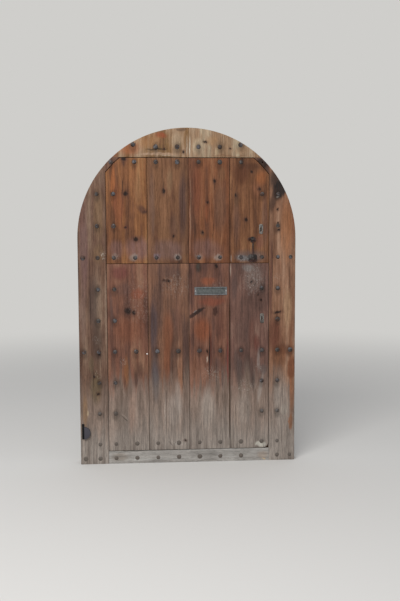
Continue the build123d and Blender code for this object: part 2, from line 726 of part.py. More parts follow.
def keeper(key, label):
    """Bent iron staple on the back of the surround that takes a bolt."""
    inner_y = bolt_y + BOLT_THICKNESS / 2 + KEEPER_CLEARANCE
    inner_half = BOLT_HEIGHT / 2 + KEEPER_CLEARANCE
    outer_half = inner_half + KEEPER_WALL
    foot_half = outer_half + KEEPER_FLANGE
    left = post_right + KEEPER_INSET
    with BuildPart() as staple:
        with BuildSketch(Plane.YZ.offset(left)):
            with BuildLine():
                Polyline(
                    (frame_back, key[1] + inner_half),
                    (frame_back, key[1] + foot_half),
                    (frame_back + KEEPER_WALL, key[1] + foot_half),
                    (frame_back + KEEPER_WALL, key[1] + outer_half),
                    (inner_y + KEEPER_WALL, key[1] + outer_half),
                    (inner_y + KEEPER_WALL, key[1] - outer_half),
                    (frame_back + KEEPER_WALL, key[1] - outer_half),
                    (frame_back + KEEPER_WALL, key[1] - foot_half),
                    (frame_back, key[1] - foot_half),
                    (frame_back, key[1] - inner_half),
                    (inner_y, key[1] - inner_half),
                    (inner_y, key[1] + inner_half),
                    close=True,
                )
            make_face()
        extrude(amount=KEEPER_WIDTH)
    write(staple.part, label)


def escutcheon(key, label):
    """Iron keyhole plate with cut corners on the front of a leaf."""
    width, height, thickness = ESCUTCHEON
    with BuildPart() as plate:
        with BuildSketch(front_plane(plank_front)):
            with Locations(key):
                Rectangle(width, height)
            chamfer(vertices(), ESCUTCHEON_CORNER)
        extrude(amount=thickness)
        keyhole(key)(plank_front - thickness, thickness)
    write(plate.part, label)


# Bolt between the leaves
tie_y = leaf_back + TIE_PLATE_THICKNESS + TIE_CLEARANCE + TIE_RADIUS
tie_handle_z = tie_plate_foot + TIE_LOOP_HEIGHT + RUNNING_GAP + TIE_HANDLE_RADIUS


def tie_loop(foot):
    """Guide loop round the bolt, standing on the plate of the barrel."""
    inner = TIE_RADIUS + TIE_CLEARANCE
    outer = inner + TIE_LOOP_WALL
    plate_y = leaf_back + TIE_PLATE_THICKNESS
    with BuildSketch(Plane.XY.offset(foot)) as loop:
        with Locations((TIE_X, (leaf_back + tie_y + outer) / 2)):
            Rectangle(2 * outer, tie_y + outer - leaf_back)
        chamfer(vertices().group_by(Axis.Y)[-1], TIE_LOOP_WALL)
        with Locations((TIE_X, (plate_y + tie_y + inner) / 2)):
            Rectangle(2 * inner, tie_y + inner - plate_y, mode=Mode.SUBTRACT)
    extrude(loop.sketch, amount=TIE_LOOP_HEIGHT)


def make_tie_barrel():
    """Plate with two loops that guide the bolt between the leaves."""
    with BuildPart() as barrel:
        with BuildSketch(front_plane(leaf_back + TIE_PLATE_THICKNESS)):
            half = TIE_PLATE_WIDTH / 2
            rectangle(TIE_X - half, TIE_X + half, tie_plate_foot, tie_plate_head)
        extrude(amount=TIE_PLATE_THICKNESS)
        tie_loop(tie_plate_foot)
        tie_loop(tie_plate_head - TIE_LOOP_HEIGHT)
        with BuildSketch(front_plane(leaf_back + TIE_PLATE_THICKNESS)):
            with Locations(*tie_barrel_nails):
                Rectangle(NAIL_SHANK, NAIL_SHANK)
        extrude(amount=TIE_PLATE_THICKNESS, mode=Mode.SUBTRACT)
    write(barrel.part, "tie_barrel")


def make_tie_bolt():
    """Round bolt with a handle, resting low between its two loops."""
    with BuildPart() as bolt:
        with BuildSketch(Plane.XY.offset(tie_plate_foot)):
            with Locations((TIE_X, tie_y)):
                Circle(TIE_RADIUS)
        extrude(amount=split_low - tie_plate_foot - RUNNING_GAP)
        with BuildSketch(front_plane(tie_y)):
            with Locations((TIE_X, tie_handle_z)):
                RegularPolygon(TIE_HANDLE_RADIUS, FORGED_SIDES)
        extrude(amount=-(TIE_RADIUS + TIE_HANDLE_LENGTH))
    write(bolt.part, "tie_bolt")


def make_tie_keeper():
    """Bent staple on the upper leaf that the bolt rises into."""
    inner = TIE_RADIUS + TIE_KEEPER_CLEARANCE
    outer = inner + TIE_LOOP_WALL
    inner_y = tie_y + inner
    flange_y = leaf_back + TIE_PLATE_THICKNESS
    half = TIE_PLATE_WIDTH / 2
    with BuildPart() as staple:
        with BuildSketch(Plane.XY.offset(tie_keeper_foot)):
            with Locations((TIE_X, (leaf_back + inner_y + TIE_LOOP_WALL) / 2)):
                Rectangle(2 * outer, inner_y + TIE_LOOP_WALL - leaf_back)
            with Locations((TIE_X, (leaf_back + flange_y) / 2)):
                Rectangle(2 * half, TIE_PLATE_THICKNESS)
            with Locations((TIE_X, (leaf_back + inner_y) / 2)):
                Rectangle(2 * inner, inner_y - leaf_back, mode=Mode.SUBTRACT)
        extrude(amount=TIE_KEEPER_HEIGHT)
        with BuildSketch(front_plane(flange_y)):
            with Locations(*tie_keeper_nails):
                Rectangle(NAIL_SHANK, NAIL_SHANK)
        extrude(amount=TIE_PLATE_THICKNESS, mode=Mode.SUBTRACT)
    write(staple.part, "tie_keeper")


# Letter plate
letter_x, letter_z = letter_centre
letter_face = plank_front - LETTER_PLATE[2]
flap_bore = FLAP_PIN_RADIUS + PIN_CLEARANCE
flap_knuckle = flap_bore + FLAP_KNUCKLE_WALL
flap_pin_y = letter_face - RUNNING_GAP - flap_knuckle
flap_pin_z = letter_z + LETTER_PLATE[1] / 2 - FLAP_PIN_DROP
ear_inside = FLAP_WIDTH / 2 + PIN_CLEARANCE
letter_screws = [(letter_x + side * (LETTER_PLATE[0] / 2 - LETTER_SCREW_INSET), letter_z) for side in (-1, 1)]


def make_letter_plate():
    """Plate with a slot and two ears for the flap's pin."""
    width, height, thickness = LETTER_PLATE
    with BuildPart() as plate:
        with BuildSketch(front_plane(plank_front)):
            with Locations(letter_centre):
                Rectangle(width, height)
                Rectangle(*LETTER_SLOT, mode=Mode.SUBTRACT)
        extrude(amount=thickness)
        for side in (-1, 1):
            start = letter_x + side * ear_inside
            with BuildSketch(Plane.YZ.offset(start)):
                with Locations(((flap_pin_y - flap_knuckle + letter_face) / 2, flap_pin_z)):
                    Rectangle(letter_face - flap_pin_y + flap_knuckle, 2 * flap_knuckle)
                with Locations((flap_pin_y, flap_pin_z)):
                    Circle(FLAP_PIN_RADIUS, mode=Mode.SUBTRACT)
            extrude(amount=side * FLAP_EAR_THICKNESS)
        square_holes(letter_screws, letter_face, thickness, LETTER_SCREW_SHANK)
    write(plate.part, "letter_plate")


def make_letter_flap():
    """Flap that hangs from its pin in front of the slot."""
    left = letter_x - FLAP_WIDTH / 2
    back = letter_face - RUNNING_GAP
    with BuildPart() as flap:
        with BuildSketch(Plane.YZ.offset(left)):
            with Locations((flap_pin_y, flap_pin_z)):
                RegularPolygon(flap_knuckle, FORGED_SIDES)
            with Locations((back - FLAP_THICKNESS / 2, flap_pin_z - FLAP_HEIGHT / 2)):
                Rectangle(FLAP_THICKNESS, FLAP_HEIGHT)
            with Locations((flap_pin_y, flap_pin_z)):
                Circle(flap_bore, mode=Mode.SUBTRACT)
        extrude(amount=FLAP_WIDTH)
    write(flap.part, "letter_flap")


def make_flap_pin():
    """Pin through both ears and the flap."""
    reach = ear_inside + FLAP_EAR_THICKNESS
    with BuildPart() as pin:
        with BuildSketch(Plane.YZ.offset(letter_x - reach)):
            with Locations((flap_pin_y, flap_pin_z)):
                Circle(FLAP_PIN_RADIUS)
        extrude(amount=2 * reach)
    write(pin.part, "letter_flap_pin")


def make_letter_screws():
    """Two domed screws that hold the letter plate."""
    with BuildPart() as screws:
        with BuildSketch(front_plane(letter_face)):
            with Locations(*letter_screws):
                RegularPolygon(LETTER_SCREW_RADIUS, 8)
        extrude(amount=LETTER_SCREW_HEAD)
        chamfer(screws.faces().group_by(Axis.Y)[0].edges(), LETTER_SCREW_HEAD / 2)
        with BuildSketch(front_plane(letter_face)):
            with Locations(*letter_screws):
                Rectangle(LETTER_SCREW_SHANK, LETTER_SCREW_SHANK)
        extrude(amount=-LETTER_SCREW_LENGTH)
    write(screws.part, "letter_plate_screws")


def letter_screw_cut(face, depth):
    """Screw holes in the plank behind the letter plate."""
    square_holes(letter_screws, face, LETTER_SCREW_LENGTH - LETTER_PLATE[2], LETTER_SCREW_SHANK)


# Knocker
pin_y = plank_front - STAPLE_PLATE[2] - KNOCKER_STANDOFF
strike_face = plank_front - STRIKE_PLATE[2] - STRIKE_BOSS[1]
hammer_back = strike_face - RUNNING_GAP
ear_gap = KNOCKER_EYE_WIDTH / 2 + PIN_CLEARANCE


def make_knocker_staple():
    """Plate driven into the plank, with two ears, their pin and a curled end."""
    width, height, thickness = STAPLE_PLATE
    reach = ear_gap + STAPLE_EAR_THICKNESS
    with BuildPart() as staple:
        with BuildSketch(front_plane(plank_front)):
            with Locations((knocker_x, knocker_pin_z)):
                Rectangle(width, height)
            chamfer(vertices(), STAPLE_CORNER)
        extrude(amount=thickness)
        for side in (-1, 1):
            with BuildSketch(Plane.YZ.offset(knocker_x + side * ear_gap)):
                with Locations((pin_y, knocker_pin_z)):
                    RegularPolygon(KNOCKER_EYE_RADIUS, FORGED_SIDES, major_radius=False)
                with Locations(((pin_y + plank_front) / 2, knocker_pin_z)):
                    Rectangle(plank_front - pin_y, 2 * KNOCKER_EYE_RADIUS)
            extrude(amount=side * STAPLE_EAR_THICKNESS)
        with BuildSketch(Plane.YZ.offset(knocker_x - reach)):
            with Locations((pin_y, knocker_pin_z)):
                Circle(KNOCKER_PIN_RADIUS)
        extrude(amount=2 * reach)
        with BuildSketch(front_plane(plank_front)):
            with Locations((knocker_x, knocker_pin_z)):
                Rectangle(STAPLE_LEG[0], STAPLE_LEG[0])
        extrude(amount=-STAPLE_LEG[1])
        with BuildLine(front_plane(pin_y)) as curl:
            CenterArc((knocker_x - reach - CURL_RADIUS, knocker_pin_z), CURL_RADIUS, 0, CURL_TURN)
        with BuildSketch(Plane(curl.line @ 0, x_dir=(1, 0, 0), z_dir=curl.line % 0)):
            Rectangle(CURL_SECTION, CURL_SECTION)
        sweep(path=curl.line)
    write(staple.part, "knocker_staple")


def make_knocker():
    """Hanging bar with an eye on the pin and a round hammer at its foot."""
    with BuildPart() as bar:
        with BuildSketch(Plane.YZ.offset(knocker_x - KNOCKER_EYE_WIDTH / 2)):
            with Locations((pin_y, knocker_pin_z)):
                RegularPolygon(KNOCKER_EYE_RADIUS, FORGED_SIDES)
        extrude(amount=KNOCKER_EYE_WIDTH)
        for height, section in ((strike_z, KNOCKER_BAR), (knocker_pin_z, KNOCKER_NECK)):
            with BuildSketch(Plane.XY.offset(height)):
                with Locations((knocker_x, pin_y)):
                    Rectangle(*section)
                chamfer(vertices(), KNOCKER_ARRIS)
        loft()
        with BuildSketch(front_plane(hammer_back)):
            with Locations((knocker_x, strike_z)):
                RegularPolygon(HAMMER_RADIUS, FORGED_SIDES)
        extrude(amount=HAMMER_LENGTH)
        chamfer(bar.faces().sort_by(Axis.Y)[0].edges(), HAMMER_EDGE)
        with BuildSketch(Plane.YZ.offset(knocker_x - KNOCKER_EYE_WIDTH / 2)):
            with Locations((pin_y, knocker_pin_z)):
                Circle(KNOCKER_PIN_RADIUS + PIN_CLEARANCE)
        extrude(amount=KNOCKER_EYE_WIDTH, mode=Mode.SUBTRACT)
    write(bar.part, "knocker")


def make_knocker_strike():
    """Plate with cut corners, a boss under the hammer and a leg in the plank."""
    width, height, thickness = STRIKE_PLATE
    with BuildPart() as strike:
        with BuildSketch(front_plane(plank_front)):
            with Locations((knocker_x, strike_z)):
                Rectangle(width, height)
            chamfer(vertices(), STRIKE_CORNER)
        extrude(amount=thickness)
        with BuildSketch(front_plane(plank_front - thickness)):
            with Locations((knocker_x, strike_z)):
                RegularPolygon(STRIKE_BOSS[0], FORGED_SIDES)
        extrude(amount=STRIKE_BOSS[1])
        with BuildSketch(front_plane(plank_front)):
            with Locations((knocker_x, strike_z)):
                Rectangle(STAPLE_LEG[0], STAPLE_LEG[0])
        extrude(amount=-STAPLE_LEG[1])
    write(strike.part, "knocker_strike")


def make_edge_buffer():
    """Small half-round pad with a flat strip, on the left board's outer edge."""
    width, height, thickness = BUFFER_PLATE
    left = -ARCH_RADIUS + BUFFER_EDGE_INSET
    with BuildPart() as pad:
        with BuildSketch(front_plane(board_front)):
            with Locations((left + width / 2, BUFFER_PLATE_Z)):
                Rectangle(width, height)
        extrude(amount=thickness)
        with BuildSketch(front_plane(board_front)):
            with Locations((left + width, BUFFER_PAD_Z)):
                Circle(BUFFER_PAD_RADIUS)
            rectangle(left - BUFFER_PAD_RADIUS, left + width, 0, BUFFER_PLATE_Z * 2, mode=Mode.SUBTRACT)
        extrude(amount=BUFFER_PAD_THICKNESS)
    write(pad.part, "edge_buffer")


# The surround
post(post_left, -ARCH_RADIUS, "left_post")
post(post_right, ARCH_RADIUS, "right_post")
arch_rib(-1, post_left, "arch_rib_left")
arch_rib(1, post_right, "arch_rib_right")
make_head_rail()
make_sill_rail()
surround_board(-ARCH_RADIUS, opening_left, 0, crown_z, "left_board")
surround_board(opening_right, ARCH_RADIUS, 0, crown_z, "right_board")
surround_board(-ARCH_RADIUS, TYMPANUM_JOINT_X, tympanum_foot, crown_z, "tympanum_board_left")
surround_board(TYMPANUM_JOINT_X, ARCH_RADIUS, tympanum_foot, crown_z, "tympanum_board_right")
surround_board(opening_left, opening_right, 0, BOTTOM_BOARD_HEIGHT, "bottom_board")
corner_block(opening_left, 0, "corner_block_left")
corner_block(0, opening_right, "corner_block_right")
make_studs(frame_studs, board_front, frame_back, "frame_studs")
make_pintles()
make_edge_buffer()

# The planks of both leaves
plank_edges = [leaf_left]
for joint in plank_joints:
    plank_edges += [joint - PLANK_GAP / 2, joint + PLANK_GAP / 2]
plank_edges.append(leaf_right)
for count in range(4):
    edges = plank_edges[2 * count:2 * count + 2]
    laps = (PLANK_LAP if count > 0 else 0, PLANK_LAP if count < 3 else 0)
    upper_cuts, lower_cuts = [], []
    if count == 3:
        upper_cuts.append(keyhole(upper_key))
        upper_cuts.append(socket(knocker_x, knocker_pin_z, *STAPLE_LEG))
        upper_cuts.append(socket(knocker_x, strike_z, *STAPLE_LEG))
        lower_cuts.append(keyhole(lower_key))
    if count == 2:
        lower_cuts += [letter_cut, letter_screw_cut]
    plank(edges, laps, split_high, leaf_head, upper_studs, f"upper_plank_{count + 1}", upper_cuts)
    worn = count == 3
    plank(edges, laps, leaf_foot, split_low, lower_studs, f"lower_plank_{count + 1}", lower_cuts, worn)

# The frames behind the planks
middle_row = rail_rows["middle"]
upper_rails = {
    "upper_top_rail": (back_head - RAIL_HEIGHT, back_head),
    "upper_bottom_rail": (split_high, split_high + RAIL_HEIGHT),
}
lower_rails = {
    "lower_top_rail": (split_low - RAIL_HEIGHT, split_low),
    "lower_mid_rail": (middle_row - RAIL_HEIGHT / 2, middle_row + RAIL_HEIGHT / 2),
    "lower_bottom_rail": (back_foot, lower_rail_head),
}
for leaf, foot, head, studs, nails, rails, key in (
    ("upper", split_high, back_head, upper_studs, upper_iron_nails, upper_rails, upper_key),
    ("lower", back_foot, split_low, lower_studs, lower_iron_nails, lower_rails, lower_key),
):
    spans = list(rails.values())
    stile(back_left, stile_left_edge, foot, head, studs, nails, spans, f"{leaf}_hinge_stile")
    stile(stile_right_edge, back_right, foot, head, studs, nails, spans, f"{leaf}_lock_stile", [keyhole(key)])
    for label, (rail_foot, rail_head) in rails.items():
        leaf_rail(rail_foot, rail_head, studs, nails, label)
    make_studs(studs, plank_front, leaf_back, f"{leaf}_studs")
    lock_case(key, f"{leaf}_lock_case")
    lock_bolt(key, f"{leaf}_lock_bolt")
    keeper(key, f"{leaf}_keeper")
    escutcheon(key, f"{leaf}_escutcheon")

# Ironwork on the back and the front
for label, (strap_z, length) in straps.items():
    strap_hinge(strap_z, length, label)
strap_face = leaf_back + STRAP_THICKNESS
lock_face = leaf_back + LOCK_PLATE_THICKNESS
tie_face = leaf_back + TIE_PLATE_THICKNESS
upper_faces = [strap_face] * 6 + [lock_face] * 4 + [tie_face] * 2
lower_faces = [strap_face] * 8 + [lock_face] * 4 + [tie_face] * 4
make_nails(upper_iron_nails, upper_faces, "upper_small_nails")
make_nails(lower_iron_nails, lower_faces, "lower_small_nails")
make_tie_barrel()
make_tie_bolt()
make_tie_keeper()
make_letter_plate()
make_letter_flap()
make_flap_pin()
make_letter_screws()
make_knocker_staple()
make_knocker()
make_knocker_strike()
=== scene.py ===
import bpy
import random
from collections import namedtuple
from math import cos, radians, sin
from mathutils import Matrix, Vector, noise


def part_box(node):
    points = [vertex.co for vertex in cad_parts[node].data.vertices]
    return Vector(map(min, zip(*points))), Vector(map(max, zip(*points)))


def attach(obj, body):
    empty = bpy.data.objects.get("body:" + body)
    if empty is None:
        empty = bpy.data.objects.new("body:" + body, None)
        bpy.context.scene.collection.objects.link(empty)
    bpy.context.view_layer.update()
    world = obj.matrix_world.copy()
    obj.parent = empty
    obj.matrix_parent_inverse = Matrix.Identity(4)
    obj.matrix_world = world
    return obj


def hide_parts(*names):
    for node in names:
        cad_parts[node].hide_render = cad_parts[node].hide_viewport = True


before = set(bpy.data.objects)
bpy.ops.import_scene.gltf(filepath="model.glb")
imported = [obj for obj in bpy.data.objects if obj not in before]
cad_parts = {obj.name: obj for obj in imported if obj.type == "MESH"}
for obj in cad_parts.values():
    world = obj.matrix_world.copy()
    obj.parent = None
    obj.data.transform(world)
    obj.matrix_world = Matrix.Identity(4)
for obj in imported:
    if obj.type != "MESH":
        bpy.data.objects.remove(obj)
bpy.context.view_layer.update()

# Places on the door, in metres
BOARD_FRONT = -0.051
PLANK_FRONT = -0.0505
WORN_DOWN = 0.18
PALE_ROW = (1.26, 1.31)
PAD_EDGE = (-0.6475, -0.6455)
STUD_NODES = (
    ("frame_studs", "frame", BOARD_FRONT),
    ("upper_studs", "upper_leaf", PLANK_FRONT),
    ("lower_studs", "lower_leaf", PLANK_FRONT),
)

# Fineness of the shapes, in metres and degrees
SAME_POINT = 0.00002
FLAT_ANGLE = 0.5
SHARP_ANGLE = 35
IRON_ANGLE = 40
HEAD_ANGLE = 60
FACE_DEPTH = 0.0005
HEAD_DEPTH = 0.0002


# Shapes
def only(piece):
    """Selects one piece and nothing else."""
    bpy.ops.object.select_all(action="DESELECT")
    piece.select_set(True)
    bpy.context.view_layer.objects.active = piece


def copied(node, name):
    """Workable copy of a solid, its loose triangles merged into flat faces."""
    piece = bpy.data.objects.new(name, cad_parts[node].data.copy())
    bpy.context.collection.objects.link(piece)
    piece.data.materials.clear()
    only(piece)
    bpy.ops.mesh.customdata_custom_splitnormals_clear()
    bpy.ops.object.mode_set(mode="EDIT")
    bpy.ops.mesh.select_all(action="SELECT")
    bpy.ops.mesh.remove_doubles(threshold=SAME_POINT)
    bpy.ops.mesh.dissolve_limited(angle_limit=radians(FLAT_ANGLE))
    bpy.ops.object.mode_set(mode="OBJECT")
    return piece


def reshaped(piece, label, kind, **settings):
    """Gives a piece one modifier and applies it."""
    only(piece)
    modifier = piece.modifiers.new(label, kind)
    for key, value in settings.items():
        setattr(modifier, key, value)
    bpy.ops.object.modifier_apply(modifier=modifier.name)


def eased(piece, width):
    """Rounds the sharp edges of a piece."""
    reshaped(piece, "eased edges", "BEVEL", width=width, segments=2, limit_method="ANGLE",
             angle_limit=radians(SHARP_ANGLE))


def sliced(piece, axis, spacing):
    """Cuts a piece across at even spacing, so that its faces can be moved."""
    only(piece)
    places = [vertex.co[axis] for vertex in piece.data.vertices]
    low, high = min(places), max(places)
    count = max(int((high - low) / spacing), 1)
    direction = [0.0, 0.0, 0.0]
    direction[axis] = 1.0
    bpy.ops.object.mode_set(mode="EDIT")
    for step in range(1, count):
        point = [0.0, 0.0, 0.0]
        point[axis] = low + (high - low) * step / count
        bpy.ops.mesh.select_all(action="SELECT")
        bpy.ops.mesh.bisect(plane_co=point, plane_no=direction)
    bpy.ops.object.mode_set(mode="OBJECT")


def front_span(node):
    """Lowest and highest X of the front face of a board."""
    places = [vertex.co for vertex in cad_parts[node].data.vertices]
    face = min(place.y for place in places)
    across = [place.x for place in places if place.y < face + FACE_DEPTH]
    return min(across), max(across)


def islands(mesh):
    """Groups of vertices that hang together."""
    owner = list(range(len(mesh.vertices)))

    def root(index):
        while owner[index] != index:
            owner[index] = owner[owner[index]]
            index = owner[index]
        return index

    for edge in mesh.edges:
        first, second = root(edge.vertices[0]), root(edge.vertices[1])
        owner[first] = second
    groups = {}
    for index in range(len(mesh.vertices)):
        groups.setdefault(root(index), []).append(mesh.vertices[index])
    return list(groups.values())


def head_middle(group, face):
    """Middle of a stud's head, as X and Z, and the vertices of that head."""
    head = [vertex for vertex in group if vertex.co.y < face + HEAD_DEPTH]
    across = [vertex.co.x for vertex in head]
    upwards = [vertex.co.z for vertex in head]
    return (min(across) + max(across)) / 2, (min(upwards) + max(upwards)) / 2, head


def measured_studs():
    """Places of all stud heads, read from the solids."""
    found = []
    for node, _, face in STUD_NODES:
        piece = copied(node, "measured")
        found += [head_middle(group, face)[:2] for group in islands(piece.data)]
        bpy.data.objects.remove(piece)
    return found


stud_places = measured_studs()


# Shader building, where ovals are given in millimetres and reach right through the door
MM = 1000
THROUGH = 1000.0


def paint(code):
    """Linear colour from a six-digit paint code."""
    parts = [int(code[start:start + 2], 16) / 255 for start in (0, 2, 4)]
    linear = [part / 12.92 if part <= 0.04045 else ((part + 0.055) / 1.055) ** 2.4 for part in parts]
    return (*linear, 1.0)


def add(tree, kind, sockets=None, **settings):
    """One shader node, with its settings and its sockets filled or linked."""
    made = tree.nodes.new(kind)
    for key, value in settings.items():
        setattr(made, key, value)
    for key, value in (sockets or {}).items():
        if isinstance(value, bpy.types.NodeSocket):
            tree.links.new(value, made.inputs[key])
        else:
            made.inputs[key].default_value = value
    return made


def maths(tree, operation, first, second):
    """Result of one sum on two values."""
    return add(tree, "ShaderNodeMath", {0: first, 1: second}, operation=operation).outputs[0]


def spread(tree, value, low, high, low_out=0.0, high_out=1.0):
    """A value stretched softly from one span to another."""
    sockets = {"Value": value, "From Min": low, "From Max": high, "To Min": low_out, "To Max": high_out}
    return add(tree, "ShaderNodeMapRange", sockets, interpolation_type="SMOOTHSTEP").outputs["Result"]


def stretched(tree, place, scale, shift=(0.0, 0.0, 0.0)):
    """Coordinates scaled along each axis and shifted."""
    sockets = {"Vector": place, "Location": shift, "Scale": scale}
    return add(tree, "ShaderNodeMapping", sockets).outputs["Vector"]


def cloudy(tree, place, scale=1.0, detail=3.0, rough=0.55):
    """Soft noise from 0 to 1."""
    sockets = {"Vector": place, "Scale": scale, "Detail": detail, "Roughness": rough}
    return add(tree, "ShaderNodeTexNoise", sockets).outputs["Fac"]


def mixed(tree, factor, under, over, blend="MIX"):
    """Two colours mixed. The node keeps its colours in the sockets 6 and 7, and the result in 2."""
    sockets = {0: factor, 6: under, 7: over}
    return add(tree, "ShaderNodeMix", sockets, data_type="RGBA", blend_type=blend).outputs[2]


def tones(tree, value, codes, steps):
    """Colour chosen by a value, from paints that lie at these steps."""
    made = add(tree, "ShaderNodeValToRGB", {"Fac": value})
    ramp = made.color_ramp
    ramp.elements[0].position, ramp.elements[0].color = steps[0], paint(codes[0])
    ramp.elements[1].position, ramp.elements[1].color = steps[-1], paint(codes[-1])
    for position, code in zip(steps[1:-1], codes[1:-1]):
        ramp.elements.new(position).color = paint(code)
    return made.outputs["Color"]


def blank(name):
    """New material with its node tree, its surface shader and the coordinates of its piece."""
    material = bpy.data.materials.new(name)
    material.use_nodes = True
    tree = material.node_tree
    place = add(tree, "ShaderNodeTexCoord").outputs["Object"]
    return material, tree, tree.nodes["Principled BSDF"], place


def parted(tree, place):
    """The three parts of a place: X, Y and Z."""
    return add(tree, "ShaderNodeSeparateXYZ", {"Vector": place}).outputs


def bumpy(tree, surface, height, strength, distance):
    """Gives a surface a fine relief, its distance in metres."""
    relief = add(tree, "ShaderNodeBump", {"Strength": strength, "Distance": distance, "Height": height})
    tree.links.new(relief.outputs["Normal"], surface.inputs["Normal"])


def shares(tree, first, share, second):
    """Two fields added, the first with this share and the second with the rest."""
    parts = [maths(tree, "MULTIPLY", field, part) for field, part in ((first, share), (second, 1.0 - share))]
    return maths(tree, "ADD", *parts)


def swing(tree, field, size):
    """A field turned into a push to both sides."""
    return maths(tree, "MULTIPLY", maths(tree, "SUBTRACT", field, 0.5), size)


def shaded(tree, colour, shade):
    """A colour multiplied by one value."""
    grey = add(tree, "ShaderNodeCombineXYZ", {"X": shade, "Y": shade, "Z": shade}).outputs["Vector"]
    return mixed(tree, 1.0, colour, grey, "MULTIPLY")


def moved_by(tree, place, x, z=0.0):
    """Coordinates pushed sideways and upwards by two fields."""
    push = add(tree, "ShaderNodeCombineXYZ", {"X": x, "Z": z}).outputs["Vector"]
    return add(tree, "ShaderNodeVectorMath", {0: place, 1: push}).outputs["Vector"]


def spot(tree, place, mark):
    """Distance from the middle of an oval, 1 on its rim. The oval is given in millimetres
    as x, z, width, height and lean, which is in degrees and clockwise."""
    x, z, width, height, lean = mark
    sockets = {
        "Vector": place,
        "Location": (x / MM, 0.0, z / MM),
        "Rotation": (0.0, radians(lean), 0.0),
        "Scale": (width / 2 / MM, THROUGH, height / 2 / MM),
    }
    oval = add(tree, "ShaderNodeMapping", sockets, vector_type="TEXTURE").outputs["Vector"]
    return add(tree, "ShaderNodeVectorMath", {0: oval}, operation="LENGTH").outputs["Value"]


# Wood building, with sizes in metres
RAGGED = 0.84
CLEAN = 1.0
BLEACHED_BELOW = 0.08
SWAY = 0.03
DRAWN_OUT = 0.055
DIRT_SHAPE = 0.6
DIRT_DROP = 0.009
DIRT_REACH = (0.029, 0.012)
# Span from the edge over which the painted shade beside the joints fades out
EDGE_SHADE_SPAN = (-0.001, 0.008)
INSIDE_DEPTH = (BOARD_FRONT + 0.008, BOARD_FRONT + 0.018)
WOOD_DULL = (0.92, 0.74)
WOOD_SHEEN = 0.25
WOOD_RELIEF = 0.0015

# Noises of the grain, as scale, detail and roughness
STREAKS = (26.0, 4.0, 0.6)
BANDS = (105.0, 4.0, 0.62)
FIBRES = (520.0, 3.0, 0.6)
PORES = (1100.0, 2.0, 0.5)
BLOTCHES = (1.0, 4.0, 0.6)
CRUMBLY = (1.0, 3.0, 0.65)
FINE_CRUMBS = (1.0, 5.0, 0.75)

# How far the noises push lines and rims about, in metres
LEVEL_PUSHES = (0.6, 0.25, 0.2)
TORN_PUSHES = (0.03, 0.016, 0.05)
FRAYED_PUSHES = (0.02, 0.018)
CRACK_PUSH = 0.02
EDGE_PUSH = 0.014

# Span of the noise, and how dark and how pale it makes the wood
NOISE_SPAN = (0.32, 0.62)
PORE_SPAN = (0.3, 0.46)
VEINS = (0.79, 1.06)
HAIRS = (0.78, 1.11)
DOTS = (0.7, 1.02)

# Rims of marks, from their outer to their inner end, with their cover and their depth in the relief
SOFT_RIM = (1.05, 0.35)
RAGGED_RIM = (1.05, 0.62)
CLEAN_RIM = (1.1, 0.8)
KNOT_HALO = (2.6, 0.8)
KNOT_RIM = (1.25, 0.5)
CRACK_RIM = (1.0, 0.55)
SPECK_RIM = (1.1, 0.3)
FULL = 0.92
HALF = 0.5
KNOT_DEPTH = 0.8
CRACK_DEPTH = 1.5

# Paints of all woods, from the dark streaks to the pale ones, and the steps at which they lie
TONE_STEPS = (0.34, 0.44, 0.53, 0.62)
AGED_STEPS = (0.36, 0.45, 0.54, 0.64)
INSIDE_TONES = ("4c3526", "6d5039", "846548", "9a7b5b")
GREY_TONES = ("675448", "77655a", "867468", "948377")
BLEACHED_TONES = ("776c64", "857a71", "92887f", "a0968d")
KNOT_RING = "4a2f24"
KNOT_HEART = "1c1310"
CRACK_DARK = "140f0c"

Grain = namedtuple("Grain", "streaks bands fibres pores blotches")


def grain_fields(tree, place, along, seed):
    """Noises drawn out along the grain, from broad streaks to single pores, and soft blotches."""
    x, y, z = parted(tree, place)
    across, lengthwise = (x, z) if along == "Z" else (z, x)
    slow = (5.0, 5.0, 1.6) if along == "Z" else (1.6, 5.0, 5.0)
    sway = cloudy(tree, stretched(tree, place, slow, (seed, 0, 0)))
    moved = maths(tree, "ADD", across, swing(tree, sway, SWAY))
    drawn = maths(tree, "MULTIPLY", lengthwise, DRAWN_OUT)
    grain = add(tree, "ShaderNodeCombineXYZ", {"X": moved, "Y": y, "Z": drawn}).outputs["Vector"]
    grain = add(tree, "ShaderNodeVectorMath", {0: grain, 1: (seed, seed * 0.7, seed * 1.3)}).outputs["Vector"]
    blotches = cloudy(tree, stretched(tree, place, (9.0, 9.0, 4.0), (seed * 3, 0, seed)), *BLOTCHES)
    fields = [cloudy(tree, grain, *recipe) for recipe in (STREAKS, BANDS, FIBRES, PORES)]
    return Grain(*fields, blotches)


def weathered(tree, colour, z, grain, fade):
    """Wood gone grey in the span of heights that fade gives, and bleached further down."""
    low, high = fade[0] / MM, fade[1] / MM
    level = z
    for field, size in zip((grain.streaks, grain.bands, grain.blotches), LEVEL_PUSHES):
        level = maths(tree, "ADD", level, swing(tree, field, size))
    mottle = shares(tree, grain.streaks, 0.75, grain.bands)
    bleached = spread(tree, level, low, BLEACHED_BELOW)
    grey, pale = [tones(tree, mottle, codes, AGED_STEPS) for codes in (GREY_TONES, BLEACHED_TONES)]
    aged = mixed(tree, bleached, grey, pale)
    return mixed(tree, spread(tree, level, high, low), colour, aged)


